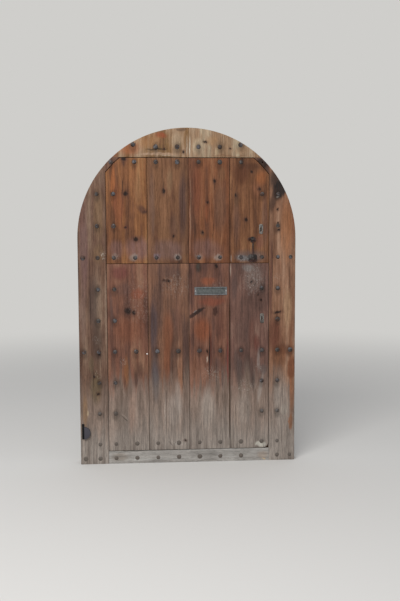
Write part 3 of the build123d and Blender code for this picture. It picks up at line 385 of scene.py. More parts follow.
def marked(tree, colour, marks, place, torn, frayed, bands):
    """Wood with its stains and bare places. A mark stronger than RAGGED has a ragged rim,
    and one of the strength CLEAN has a clean rim and is full of its paint."""
    for *oval, code, strength in marks:
        if strength == CLEAN:
            colour = mixed(tree, spread(tree, spot(tree, place, oval), *CLEAN_RIM), colour, paint(code))
            continue
        where, rim = (frayed, RAGGED_RIM) if strength > RAGGED else (torn, SOFT_RIM)
        mask = spread(tree, spot(tree, where, oval), *rim, 0.0, strength)
        patchy = maths(tree, "MULTIPLY", mask, spread(tree, bands, 0.3, 0.55, 0.75, 1.0))
        colour = mixed(tree, patchy, colour, paint(code))
    return colour


def knotted(tree, colour, height, knots, frayed):
    """Wood with dark sunk knots, each in a ring of its own, and the height of its relief."""
    for knot in knots:
        reach = spot(tree, frayed, (*knot, 0))
        colour = mixed(tree, spread(tree, reach, *KNOT_HALO, 0.0, HALF), colour, paint(KNOT_RING))
        core = spread(tree, reach, *KNOT_RIM, 0.0, FULL)
        colour = mixed(tree, core, colour, paint(KNOT_HEART))
        height = maths(tree, "SUBTRACT", height, maths(tree, "MULTIPLY", core, KNOT_DEPTH))
    return colour, height


def cracked(tree, colour, height, cracks, wavy):
    """Wood with its cracks, and the height of its relief."""
    for crack in cracks:
        split = spread(tree, spot(tree, wavy, crack), *CRACK_RIM, 0.0, FULL)
        colour = mixed(tree, split, colour, paint(CRACK_DARK))
        height = maths(tree, "SUBTRACT", height, maths(tree, "MULTIPLY", split, CRACK_DEPTH))
    return colour, height


def specked(tree, colour, specks, place, frayed, crumbly):
    """Wood with patches of fine pale crumbs."""
    fine = cloudy(tree, stretched(tree, place, (210.0, 210.0, 150.0)), *FINE_CRUMBS)
    crumbs = spread(tree, shares(tree, fine, 0.7, crumbly), 0.5, 0.62)
    for *oval, code in specks:
        reach = spread(tree, spot(tree, frayed, (*oval, 0)), *SPECK_RIM, 0.0, HALF)
        colour = mixed(tree, maths(tree, "MULTIPLY", crumbs, reach), colour, paint(code))
    return colour


def stud_dirt(tree, place, shade, node, span, darkest):
    """Darkens the wood round and just below the studs of a board, but not in the pale row."""
    low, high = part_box(node)
    near = [(x, z) for x, z in stud_places if span[0] < x < span[1] and max(low[2], WORN_DOWN) < z < high[2]
            and not PALE_ROW[0] < z < PALE_ROW[1]]
    if not near:
        return shade
    squeezed = stretched(tree, place, (1.0, 0.0, DIRT_SHAPE))
    nearest = None
    for x, z in near:
        middle = (x, 0.0, (z - DIRT_DROP) * DIRT_SHAPE)
        sockets = {0: squeezed, 1: middle}
        apart = add(tree, "ShaderNodeVectorMath", sockets, operation="DISTANCE").outputs["Value"]
        nearest = apart if nearest is None else maths(tree, "MINIMUM", nearest, apart)
    return maths(tree, "MULTIPLY", shade, spread(tree, nearest, *DIRT_REACH, 1.0, darkest))


def painted_edge_shade(tree, x, shade, blotches, span, edges):
    """Painted shade: darkens the wood along its left and its right edge, beside the joints, each down to its
    own value in edges.
    """
    ragged = swing(tree, blotches, EDGE_PUSH)
    inwards = (maths(tree, "SUBTRACT", x, span[0]), maths(tree, "SUBTRACT", span[1], x))
    for inward, darkest in zip(inwards, edges):
        inward = maths(tree, "ADD", inward, ragged)
        shade = maths(tree, "MULTIPLY", shade, spread(tree, inward, *EDGE_SHADE_SPAN, darkest, 1.0))
    return shade


def timber(name, bare, node=None, fade=None, marks=(), knots=(), cracks=(), specks=(), along="Z",
           edges=(0.6, 0.6), dirt=0.64, *, seed):
    """Old wood. A mark is x, z, width, height, lean, paint and strength; a knot is x, z, width
    and height; a crack adds its lean, and a patch of specks its paint. All are in millimetres,
    and so is fade. With a node the board has its dirt round the studs, painted shade along its
    left and right edges, and its back has the inside colour."""
    material, tree, surface, place = blank(name)
    x, y, z = parted(tree, place)
    grain = grain_fields(tree, place, along, seed)
    streaks, bands, fibres, pores, blotches = grain

    colour = tones(tree, shares(tree, streaks, 0.6, blotches), bare, TONE_STEPS)
    if fade:
        colour = weathered(tree, colour, z, grain, fade)

    broad, narrow, upwards = TORN_PUSHES
    push = maths(tree, "ADD", swing(tree, blotches, broad), swing(tree, bands, narrow))
    torn = moved_by(tree, place, push, swing(tree, blotches, upwards))
    crumbly = cloudy(tree, stretched(tree, place, (85.0, 85.0, 42.0), (seed, 0, 2.2)), *CRUMBLY)
    sideways, upwards = FRAYED_PUSHES
    frayed = moved_by(tree, torn, swing(tree, crumbly, sideways), swing(tree, fibres, upwards))
    colour = marked(tree, colour, marks, place, torn, frayed, bands)

    veins = spread(tree, bands, *NOISE_SPAN, *VEINS)
    hairs = spread(tree, fibres, *NOISE_SPAN, *HAIRS)
    dots = spread(tree, pores, *PORE_SPAN, *DOTS)
    shade = maths(tree, "MULTIPLY", maths(tree, "MULTIPLY", veins, hairs), dots)
    height = shares(tree, shares(tree, bands, 0.6, fibres), 0.8, dots)
    colour, height = knotted(tree, colour, height, knots, frayed)
    wavy = moved_by(tree, place, swing(tree, streaks, CRACK_PUSH))
    colour, height = cracked(tree, colour, height, cracks, wavy)
    colour = specked(tree, colour, specks, place, frayed, crumbly)

    if node:
        span = front_span(node)
        shade = stud_dirt(tree, torn, shade, node, span, dirt)
        # Painted shade along the left and right edges, beside the joints
        shade = painted_edge_shade(tree, x, shade, blotches, span, edges)
        hidden = tones(tree, shares(tree, streaks, 0.6, blotches), INSIDE_TONES, TONE_STEPS)
        colour = mixed(tree, spread(tree, y, *INSIDE_DEPTH), colour, hidden)

    tree.links.new(shaded(tree, colour, shade), surface.inputs["Base Color"])
    tree.links.new(spread(tree, bands, 0.3, 0.7, *WOOD_DULL), surface.inputs["Roughness"])
    surface.inputs["Specular IOR Level"].default_value = WOOD_SHEEN
    bumpy(tree, surface, height, 0.5, WOOD_RELIEF)
    return material


# Woods of the leaves
FADE = (380, 640)
upper_woods = [
    timber(
        "red brown plank, first", ("492e20", "69442d", "805535", "8e6744"),
        node="upper_plank_1",
        marks=(
            (-452, 1740, 36, 330, 2, "935832", 0.7), (-420, 1590, 90, 340, -3, "7b452c", 0.55),
            (-276, 1576, 90, 60, 40, "452e29", 0.7), (-262, 1560, 34, 30, 0, "332220", 0.6),
            (-290, 1340, 230, 170, 0, "745650", 0.75), (-440, 1330, 130, 140, 0, "6e5048", 0.7),
            (-370, 1790, 120, 150, 0, "815434", 0.5), (-380, 1462, 34, 26, 20, "63352a", 0.7),
            (-300, 1700, 60, 260, 1, "7c5b3f", 0.45), (-400, 1560, 10, 470, 1, "5a3a2a", 0.5),
            (-329, 1286, 66, 60, 0, "877a72", 0.6), (-452, 1286, 50, 50, 0, "7b6c64", 0.45),
            (-386, 1848, 16, 60, 0, "3b261f", 0.7),
        ),
        knots=((-377, 1671, 27, 32), (-317, 1396, 32, 30), (-382, 1461, 14, 12), (-386, 1878, 30, 24)),
        cracks=((-396, 1700, 2.5, 150, 3),),
        specks=((-440, 1290, 60, 50, "a3978e"), (-318, 1290, 60, 50, "958c86")),
        edges=(0.85, 0.95), seed=1.7,
    ),
    timber(
        "olive brown plank, second", ("3f291e", "5a3b2a", "6b4a33", "7b563d"),
        node="upper_plank_2",
        marks=(
            (-26, 1600, 58, 560, 0, "45322f", 0.8), (-142, 1735, 18, 120, 0, "48301f", 0.7),
            (-104, 1755, 50, 200, 2, "7a6047", 0.5), (-215, 1600, 50, 520, 0, "604a40", 0.55),
            (-120, 1330, 250, 170, 0, "6a524c", 0.65), (-80, 1480, 80, 190, 0, "604639", 0.5),
            (-189, 1292, 56, 50, 0, "6d5c62", 0.75), (-61, 1284, 60, 52, 0, "877a73", 0.6),
            (-150, 1790, 24, 90, 0, "53392a", 0.5),
        ),
        knots=((-142, 1692, 24, 38), (-82, 1421, 16, 18)),
        cracks=((-30, 1600, 2.5, 420, 1), (-196, 1690, 2, 190, -2)),
        specks=((-62, 1292, 60, 50, "a39a92"), (-190, 1290, 50, 50, "8f878a")),
        edges=(0.9, 0.95), seed=5.2,
    ),
    timber(
        "red brown plank, third", ("422a1e", "5f3b28", "70452c", "7f563b"),
        node="upper_plank_3",
        marks=(
            (60, 1690, 90, 420, 0, "6b3c29", 0.6), (118, 1560, 30, 170, 0, "7e482d", 0.6),
            (200, 1600, 100, 460, 0, "5e4537", 0.55), (120, 1335, 250, 160, 0, "694d46", 0.7),
            (30, 1600, 30, 480, 0, "53372b", 0.4), (16, 1560, 9, 640, 0, "8c6c58", 0.6),
            (71, 1282, 56, 50, 0, "75675f", 0.5), (191, 1286, 66, 50, 0, "94877e", 0.6),
            (215, 1800, 60, 120, 0, "6c4f38", 0.5), (172, 1740, 14, 110, 0, "3e271c", 0.6),
            (88, 1430, 36, 46, 0, "4b4034", 0.6),
        ),
        knots=((172, 1756, 20, 24), (122, 1616, 14, 20), (90, 1433, 16, 18)),
        cracks=((160, 1460, 2.5, 230, 4), (135, 1560, 2, 160, -2)),
        specks=((66, 1290, 60, 50, "8d857e"), (190, 1296, 80, 60, "a79d94")),
        edges=(1.0, 0.85), seed=9.4,
    ),
    timber(
        "burnt brown plank, fourth", ("3b2418", "5b3a26", "704a31", "815b3e"),
        node="upper_plank_4",
        marks=(
            (330, 1790, 130, 170, 0, "4e2d1c", 0.8), (455, 1770, 90, 130, 12, "86512f", 0.7),
            (430, 1700, 70, 130, 0, "7c5038", 0.55), (400, 1840, 150, 60, 0, "452a1d", 0.6),
            (300, 1500, 60, 380, 0, "62463a", 0.5), (390, 1290, 250, 110, 0, "584945", 0.8),
            (480, 1500, 50, 420, 0, "583f38", 0.55), (450, 1380, 60, 120, 0, "673f38", 0.5),
            (352, 1282, 130, 46, 0, "5d5b5b", 0.8), (330, 1290, 40, 20, 0, "83807d", 0.6),
            (378, 1278, 20, 16, 0, "8c8a87", 0.6), (268, 1275, 10, 60, 0, "9a8a7e", 0.6),
            (300, 1640, 50, 120, 0, "4d3826", 0.5),
        ),
        knots=((398, 1810, 20, 16), (362, 1512, 24, 24), (445, 1700, 16, 22), (300, 1662, 12, 30)),
        cracks=((381, 1560, 3, 420, 0), (276, 1640, 3, 300, 0)),
        specks=((350, 1280, 150, 60, "aaa6a1"), (440, 1290, 70, 50, "8a837c")),
        edges=(0.85, 0.95), seed=13.1,
    ),
]
lower_woods = [
    timber(
        "worn plank, first", ("3f2a24", "5b3d32", "704b3b", "805e4a"),
        node="lower_plank_1", fade=FADE,
        marks=(
            (-414, 1195, 130, 120, 0, "643832", 0.8), (-306, 1060, 120, 90, 0, "7b4632", 0.7),
            (-400, 1090, 130, 110, 0, "573f38", 0.5), (-370, 840, 220, 220, 0, "754630", 0.55),
            (-285, 900, 60, 330, 0, "714634", 0.5), (-390, 560, 60, 260, 2, "7c5138", 0.6),
            (-350, 330, 60, 340, 2, "94796a", 0.5), (-470, 950, 24, 330, 0, "54403a", 0.6),
            (-420, 300, 90, 260, 0, "6b5e54", 0.5), (-395, 520, 14, 160, 0, "472c24", 0.7),
            (-300, 590, 80, 130, 0, "4d352c", 0.6), (-325, 530, 30, 150, 0, "3f2c26", 0.75),
            (-382, 590, 34, 240, 1, "82522f", 0.55), (-250, 850, 14, 300, 0, "4a3029", 0.5),
            (-396, 288, 5, 66, -48, "a5968a", 0.7), (-254, 689, 8, 9, 0, "f4f0ea", CLEAN),
        ),
        knots=((-371, 953, 50, 50), (-334, 944, 22, 30)),
        cracks=((-400, 285, 3, 70, -48), (-300, 420, 2, 240, 1)),
        specks=((-280, 1010, 260, 420, "8d7a6e"), (-400, 640, 60, 60, "b0a69c")),
        edges=(0.9, 0.85), seed=21.3,
    ),
    timber(
        "worn plank, second", ("3e2a25", "583f34", "6c4c3b", "815c47"),
        node="lower_plank_2", fade=FADE,
        marks=(
            (-212, 860, 56, 420, 0, "463a3c", 0.75), (-125, 820, 90, 330, 0, "7c4a30", 0.6),
            (-60, 900, 60, 330, 0, "624338", 0.5), (-120, 1200, 220, 110, 0, "563f38", 0.5),
            (-130, 1140, 90, 24, 0, "2c1b16", 0.7), (-200, 620, 60, 260, 0, "51423e", 0.6),
            (-20, 700, 40, 300, 0, "573f37", 0.5), (-90, 330, 130, 260, 0, "9b9087", 0.45),
            (-208, 560, 60, 220, 0, "4c4245", 0.65), (-110, 610, 70, 110, 0, "50382f", 0.6),
            (-60, 690, 12, 240, 1, "94745f", 0.5), (-132, 640, 54, 340, 0, "7e4a30", 0.6),
            (-147, 300, 6, 330, 0, "a89d93", 0.6), (-205, 480, 56, 300, 0, "5c5553", 0.6),
            (-60, 420, 60, 300, 0, "a0968d", 0.35),
        ),
        knots=((-146, 1146, 12, 10), (-118, 1138, 12, 12), (-20, 138, 18, 14)),
        cracks=(
            (-139, 320, 3, 360, 0), (-97, 590, 2.5, 200, 2), (-112, 120, 3, 46, -40),
            (-33, 560, 2, 260, 0),
        ),
        specks=((-60, 1120, 240, 200, "94857b"), (-70, 120, 120, 50, "c9c5bd")),
        edges=(0.8, 0.95), seed=27.9,
    ),
    timber(
        "worn plank, third", ("3f2a24", "5a3d33", "6e4a3a", "7e5a49"),
        node="lower_plank_3", fade=FADE,
        marks=(
            (66, 1220, 56, 96, 0, "2b2622", 0.82), (62, 1226, 24, 40, 0, "3d3a33", 0.6),
            (126, 1140, 120, 60, 0, "834a32", 0.75), (150, 1010, 210, 70, 0, "753f2e", 0.7),
            (90, 830, 140, 200, 0, "80472c", 0.7), (200, 850, 70, 260, 0, "633f33", 0.5),
            (56, 944, 108, 30, -32, "281c18", 0.95), (30, 926, 40, 26, -20, "3a2620", 0.86),
            (92, 966, 50, 16, -18, "33251f", 0.8), (46, 950, 28, 12, -32, "83756f", 0.6),
            (170, 950, 26, 70, 0, "3a231c", 0.9), (118, 645, 8, 60, 3, "b0a090", 0.7),
            (185, 610, 70, 130, 0, "54403a", 0.6), (120, 330, 130, 320, 0, "9f958b", 0.5),
            (40, 600, 40, 160, 0, "6a4634", 0.6), (215, 520, 24, 160, 0, "574640", 0.6),
            (10, 900, 14, 300, 0, "766052", 0.5), (130, 660, 12, 160, 0, "4f3027", 0.6),
            (247, 640, 16, 420, 0, "6f352c", 0.7), (141, 690, 14, 440, 0, "5c2b20", 0.7),
        ),
        knots=((175, 1224, 22, 28), (118, 700, 14, 26)),
        cracks=((134, 700, 6, 520, 1), (176, 560, 2.5, 240, 1), (34, 740, 2.5, 420, 1)),
        specks=((190, 1090, 120, 120, "8f8076"), (150, 560, 160, 120, "a59d92")),
        edges=(0.95, 0.75), seed=33.6,
    ),
    timber(
        "worn plank, fourth", ("3e2b26", "563f37", "684b41", "7b6053"),
        node="lower_plank_4", fade=FADE,
        marks=(
            (406, 1150, 150, 200, 0, "695b54", 0.6), (290, 1100, 50, 220, 0, "4e3e3a", 0.6),
            (340, 820, 130, 240, 0, "543f38", 0.6), (400, 800, 60, 260, 0, "573329", 0.5),
            (440, 650, 30, 210, 0, "8b7e77", 0.55), (455, 470, 34, 260, 10, "a2988f", 0.5),
            (470, 583, 60, 90, 0, "56504d", 0.5), (455, 104, 84, 44, 0, "bdb8ac", 0.92),
            (320, 570, 60, 240, 0, "4b3f3b", 0.65), (350, 330, 120, 260, 0, "978d83", 0.4),
            (300, 640, 40, 200, 0, "4d403c", 0.6), (394, 560, 30, 260, 0, "4a3b36", 0.7),
            (267, 1205, 9, 90, 0, "9a897b", 0.7), (370, 1215, 90, 60, 0, "6f6a66", 0.6),
            (406, 505, 26, 150, 0, "433733", 0.75), (430, 750, 50, 160, 0, "5d2f26", 0.65),
        ),
        knots=((431, 1040, 12, 12), (396, 1130, 16, 16), (450, 1010, 14, 16)),
        cracks=((382, 640, 2.5, 300, 1), (300, 300, 2, 260, 0), (420, 1120, 3, 60, 30)),
        specks=(
            (406, 1140, 190, 240, "a39b94"), (360, 470, 200, 120, "a59d92"), (440, 590, 60, 80, "a9a29a"),
        ),
        edges=(0.75, 0.95), seed=39.8,
    ),
]

# Woods of the surround and of the framing
left_wood = timber(
    "left board wood", ("432f26", "5b4235", "6b5243", "7b6554"),
    node="left_board", fade=(290, 560),
    marks=(
        (-632, 1350, 70, 800, 0, "684e4a", 0.75), (-540, 1540, 80, 420, 0, "765b40", 0.6),
        (-545, 1300, 90, 160, 0, "6f563d", 0.6), (-520, 1180, 50, 240, 0, "6d503f", 0.6),
        (-575, 1000, 76, 440, 0, "493b35", 0.75), (-640, 950, 50, 500, 0, "70584f", 0.6),
        (-560, 760, 100, 340, 0, "3f302a", 0.7), (-575, 470, 90, 240, 0, "5f5137", 0.6),
        (-600, 620, 40, 160, 0, "655743", 0.5), (-503, 930, 16, 760, 0, "8b7362", 0.6),
        (-640, 1560, 60, 260, 0, "583a2f", 0.6), (-640, 330, 40, 260, 0, "86643e", 0.5),
        (-624, 322, 16, 44, 0, "b09c80", 0.7),
    ),
    knots=((-560, 440, 18, 16), (-585, 540, 12, 14), (-545, 690, 20, 16)),
    cracks=((-600, 1050, 3, 520, 0), (-585, 560, 2.5, 260, 0), (-572, 1500, 2, 320, 0)),
    specks=((-560, 780, 60, 60, "a8a097"), (-560, 560, 60, 80, "a79f8e"), (-520, 1290, 50, 90, "c9c2b8")),
    edges=(0.7, 0.9), seed=45.5,
)
right_wood = timber(
    "right board wood", ("553829", "714e3a", "825f49", "93725c"),
    node="right_board", fade=(400, 660),
    marks=(
        (545, 1760, 110, 190, 0, "2a2220", 0.84), (572, 1700, 96, 150, 22, "1f1a19", 0.95),
        (530, 1625, 56, 190, 14, "3b2a22", 0.8), (535, 1400, 60, 420, 0, "5b3c2b", 0.7),
        # The dark strip at x 520, along the left edge of this board, is painted shade of the gap beside the
        # leaf
        (615, 1450, 90, 480, 0, "8c5a38", 0.65), (520, 1120, 26, 700, 0, "4f3029", 0.8),
        (560, 1150, 50, 300, 0, "7b5846", 0.5), (622, 960, 70, 320, 0, "9a7b5e", 0.65),
        (540, 800, 110, 300, 0, "5c3528", 0.78), (600, 705, 170, 90, 0, "5a3828", 0.75),
        (570, 660, 130, 160, 0, "70462d", 0.6), (648, 640, 26, 620, 0, "7c4b30", 0.55),
        (560, 420, 60, 240, 0, "83786f", 0.5), (654, 430, 40, 420, 1, "85573a", 0.7),
        (652, 590, 64, 150, 0, "6d422c", 0.86), (648, 250, 30, 120, 0, "84583c", 0.86),
        (590, 360, 120, 460, 0, "968c83", 0.5), (558, 1656, 34, 18, -30, "948c83", 0.8),
        (610, 330, 60, 100, 0, "9b9287", 0.5), (655, 1480, 22, 300, 0, "7d4a33", 0.5),
    ),
    knots=((566, 1455, 14, 12), (565, 1500, 8, 10), (560, 1580, 10, 14), (560, 940, 40, 16)),
    cracks=((590, 500, 2.5, 380, 0), (527, 1230, 3, 420, 0), (633, 1150, 2, 260, 0)),
    specks=((640, 1290, 40, 40, "a9a79c"), (560, 1160, 50, 60, "8f8679")),
    edges=(0.95, 0.75), seed=51.2,
)
arch_wood_left = timber(
    "left arch board wood", ("5f422e", "765839", "8b7058", "9b856c"),
    node="tympanum_board_left",
    marks=(
        # The thin dark strip at x -35, just under the top of the arch, is painted shadow under the arch
        (-160, 2020, 96, 50, 4, "84452a", 0.84), (-35, 2056, 90, 26, 0, "554030", 0.7),
        (-345, 1950, 170, 130, 0, "8a5233", 0.78), (-225, 1985, 180, 110, 0, "8e6440", 0.6),
        (-60, 1990, 90, 130, 0, "9c8870", 0.6), (-185, 1936, 150, 13, 0, "41301f", 0.86),
        (-180, 1910, 330, 20, 0, "a58973", 0.7), (-120, 1901, 170, 8, 0, "b0a08c", 0.5),
        (-440, 1910, 60, 60, 0, "743f27", 0.7), (1, 1960, 8, 150, 0, "b9ae9e", 0.6),
        (-165, 1975, 24, 60, 0, "6c4a38", 0.5), (-250, 2000, 16, 70, 0, "6f4a30", 0.5),
    ),
    knots=((-20, 1925, 16, 18), (-190, 1940, 12, 10), (-140, 1937, 12, 12)),
    cracks=((-150, 1898, 240, 2.5, 0), (-310, 1960, 2, 80, 0)),
    edges=(0.8, 1.0), seed=57.0,
)
arch_wood_right = timber(
    "right arch board wood", ("785d45", "8a6e55", "968069", "a29279"),
    node="tympanum_board_right",
    marks=(
        (60, 1960, 70, 120, 0, "ac9a80", 0.6), (150, 1990, 90, 80, 0, "957250", 0.6),
        (330, 1935, 120, 60, 0, "947457", 0.5), (260, 1900, 300, 12, 0, "714f38", 0.5),
        (17, 1960, 10, 150, 0, "bcb2a2", 0.6), (180, 1925, 30, 60, 0, "a89274", 0.6),
        (90, 2020, 12, 60, 0, "7a5a40", 0.5),
    ),
    knots=((112, 1988, 26, 14), (263, 1943, 12, 8)),
    cracks=((218, 2000, 2, 70, 0),),
    edges=(1.0, 0.8), seed=61.4,
)
corner_wood = timber(
    "corner block wood", ("3e2c24", "5a3f33", "6b4e3e", "7e624d"),
    # The near-black oval at the top right is painted shade of the dark gap at the corner of the leaf
    marks=((455, 1850, 80, 60, 45, "1d1614", 0.85),),
    seed=66.0,
)
bottom_wood = timber(
    "bottom board wood", ("7f7a74", "8f8a84", "9d9892", "aba7a1"),
    node="bottom_board",
    marks=(
        (-430, 40, 140, 70, 0, "7d7165", 0.6), (470, 40, 90, 60, 0, "9a8878", 0.6),
        (480, 17, 34, 8, 14, "d0b48f", 0.85), (-250, 75, 500, 6, 0, "5a5048", 0.5),
        (100, 4, 900, 8, 0, "67625d", 0.5),
    ),
    cracks=((-100, 22, 300, 2.5, 0), (300, 58, 240, 2, 0)),
    along="X", dirt=0.85, seed=70.3,
)
frame_wood = timber("plain sawn wood", INSIDE_TONES, seed=75.1)
rail_wood = timber("plain sawn wood, lying", INSIDE_TONES, along="X", seed=80.9)

# Irons, with sizes in metres
DUSTY = (0.6, 0.05)
IRON_RELIEF = 0.0012

# Noises of the irons, as scale, detail and roughness
HAMMERED = (70.0, 3.0, 0.55)
PITTED = (420.0, 3.0, 0.65)
STAINED = (1.0, 4.0, 0.6)


def iron(name, dark, light, rust=None, rust_from=0.5, metal=0.35, rough=0.62, low=None, pitted=0.38, odd=None,
         dented=0.5):
    """Hammered iron, patchy, with rust, and with the dust of the wood low down. Odd gives
    two more paints, of which each place takes its own share."""
    material, tree, surface, place = blank(name)
    lumps = cloudy(tree, place, *HAMMERED)
    specks = cloudy(tree, place, *PITTED)
    colour = mixed(tree, spread(tree, lumps, 0.35, 0.68), paint(dark), paint(light))
    if odd:
        cells = add(tree, "ShaderNodeTexVoronoi", {"Vector": stretched(tree, place, (11.0, 0.0, 11.0))})
        red, green, _ = add(tree, "ShaderNodeSeparateColor", {"Color": cells.outputs["Color"]}).outputs
        colour = mixed(tree, spread(tree, red, 0.35, 0.9, 0.0, 0.75), colour, paint(odd[0]))
        colour = mixed(tree, spread(tree, green, 0.45, 0.9, 0.0, 0.8), colour, paint(odd[1]))
    if rust:
        stain = cloudy(tree, stretched(tree, place, (38.0, 38.0, 22.0), (3.1, 0, 0)), *STAINED)
        colour = mixed(tree, spread(tree, stain, rust_from, rust_from + 0.14, 0.0, 0.85), colour, paint(rust))
    if low:
        height = parted(tree, place)["Z"]
        colour = mixed(tree, spread(tree, height, *DUSTY, 0.0, FULL), colour, paint(low))
    pits = spread(tree, specks, 0.36, 0.6, 1.0 - pitted, 1.0 + pitted / 3)
    tree.links.new(shaded(tree, colour, pits), surface.inputs["Base Color"])
    surface.inputs["Metallic"].default_value = metal
    tree.links.new(spread(tree, lumps, 0.3, 0.7, rough + 0.16, rough - 0.1), surface.inputs["Roughness"])
    dents = maths(tree, "ADD", lumps, maths(tree, "MULTIPLY", specks, 0.35))
    bumpy(tree, surface, dents, dented, IRON_RELIEF)
    return material


def make_pad_skin():
    """Dark grey pad with a nearly black strip along its outer edge."""
    material, tree, surface, place = blank("dark pad")
    across = parted(tree, place)["X"]
    colour = mixed(tree, spread(tree, across, *PAD_EDGE), paint("0e0e0f"), paint("454349"))
    tree.links.new(colour, surface.inputs["Base Color"])
    surface.inputs["Roughness"].default_value = 0.75
    surface.inputs["Specular IOR Level"].default_value = 0.2
    return material


stud_iron = iron("stud iron", "2d2826", "504a46", "4a2f22", 0.52, 0.25, 0.7, low="696058",
                 odd=("626166", "35261f"))
plain_iron = iron("hinge iron", "26221f", "45403b", "5a3625", 0.5, 0.4, 0.6)
rusty_iron = iron("knocker iron", "221b19", "3d3836", "4b2a22", 0.46, 0.35, 0.58)
plate_iron = iron("letter plate iron", "595a5b", "6f6f70", "6a5a4f", 0.62, 0.15, 0.6, pitted=0.0, dented=0.05)
flap_iron = iron("letter flap iron", "4c4f4e", "5c5f5d", metal=0.15, rough=0.6, pitted=0.0, dented=0.05)
# The nearly white paint of the letter plate screws is a painted highlight on them
screw_iron = iron("letter plate screw iron", "9a9894", "b4b2ad", metal=0.2, rough=0.5, pitted=0.1, dented=0.2)
lock_iron = iron("keyhole plate iron", "4b4743", "7d7973", "5b4033", 0.55, 0.35, 0.55, pitted=0.2)
pad_skin = make_pad_skin()

# Wear of boards and studs, in metres
SLICE_HEIGHT = 0.05
SLICE_WIDTH = 0.045
ARRIS = 0.0018
FINE_ARRIS = 0.0008
HOLLOW = 0.0009
PLAIN_HOLLOW = 0.0003
FACE_ZONE = 0.0006
END_ZONE = 0.0003
EDGE_ZONE = 0.0025
WORN_ZONE = 0.003
WORN_BACK = BOARD_FRONT + 0.015
EDGE_WEAR = 0.0007
BITE_RUN = 0.06
SHANK_RADIUS = 0.0062

# Waves of the uneven surfaces, for each metre
SWELLS_ACROSS = 11
SWELLS_ALONG = 3.5
NICKS = 6
DENTS = 55

# Shares by which stud heads differ
HEAD_SIZES = (0.9, 1.16)
HEAD_HEIGHTS = (0.55, 1.0)
HEAD_TILTS = (-0.09, 0.09)
WORN_HEAD = 0.55

# Edges and surfaces of irons, in metres
FORGED_EDGE = 0.0008
SHEET_EDGE = 0.0006
SCREW_EDGE = 0.0004
PIN_EDGE = 0.0003
PAD_ROUNDING = 0.0012
LUMPS = 0.0005
FINE_LUMPS = 0.0002
SMOOTH = 0.0

# What comes nearer to its neighbour than in the solids, in metres, as foot and head or left and right
NO_REACH = (0.0, 0.0)
PLANK_REACH = (0.001, 0.0)
ABOVE_SLIT = (0.0015, 0.0)
BELOW_SLIT = (0.0, 0.0015)
LEFT_BOARD_REACH = (0.0, 0.001)
RIGHT_BOARD_REACH = (0.0015, 0.0)

# Edges worn on each plank, with the joint between lower planks 3 and 4 worn open
OPEN_JOINT = (0.14, 1.0, 0.0028)
BITES = {"lower_plank_3": [("right", *OPEN_JOINT)], "lower_plank_4": [("left", *OPEN_JOINT)]}
WORN_SIDES = {1: "left right", 2: "left", 3: "right", 4: "left"}


# Pieces
def dressed(piece, body, node, material, smooth=SHARP_ANGLE):
    """Gives a finished piece its material and its body, and hides the solid that it stands for."""
    only(piece)
    bpy.ops.object.shade_smooth_by_angle(angle=radians(smooth))
    piece.data.materials.append(material)
    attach(piece, body)
    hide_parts(node)


def uneven(place):
    """Noise from 0 to 1 at one place."""
    return 0.5 + 0.5 * noise.noise(place)


def worn_board(node, body, material, worn_sides="", hollow=HOLLOW, bites=(), reach=NO_REACH, nearer=NO_REACH,
               ease=ARRIS, *, seed):
    """Board with eased arrises, an uneven face and worn front edges.
    A bite is a side, a lowest and highest Z and a depth. Reach lets the foot and the head
    come nearer to their neighbours, and nearer does so for the left and the right edge.
    All are in metres."""
    piece = copied(node, "worn_" + node)
    eased(piece, ease)
    sliced(piece, 2, SLICE_HEIGHT)
    sliced(piece, 0, SLICE_WIDTH)
    low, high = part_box(node)
    left, right = front_span(node)
    for vertex in piece.data.vertices:
        x, y, z = vertex.co
        if y < low[1] + FACE_ZONE:
            vertex.co.y += hollow * uneven(Vector((x * SWELLS_ACROSS + seed, seed, z * SWELLS_ALONG)))
        if abs(z - low[2]) < END_ZONE:
            vertex.co.z -= reach[0]
        if abs(z - high[2]) < END_ZONE:
            vertex.co.z += reach[1]
        if abs(x - left) < EDGE_ZONE:
            vertex.co.x -= nearer[0]
        if abs(x - right) < EDGE_ZONE:
            vertex.co.x += nearer[1]
        for side, edge, inward in (("left", left, 1), ("right", right, -1)):
            if side not in worn_sides or abs(x - edge) > WORN_ZONE or y > WORN_BACK:
                continue
            amount = EDGE_WEAR * uneven(Vector((seed + inward, 3.3, z * NICKS)))
            for bitten, bottom, top, depth in bites:
                if bitten == side and bottom < z < top:
                    amount += depth * min(1.0, (z - bottom) / BITE_RUN, (top - z) / BITE_RUN)
            vertex.co.x += inward * amount
    dressed(piece, body, node, material)


def forged(node, body, material, width=FORGED_EDGE, lumps=LUMPS):
    """Iron piece with softened edges and a hammered, slightly uneven surface."""
    piece = copied(node, "forged_" + node)
    eased(piece, width)
    for vertex in piece.data.vertices:
        dent = uneven(vertex.co * DENTS)
        vertex.co -= vertex.normal * lumps * dent
    dressed(piece, body, node, material, IRON_ANGLE)


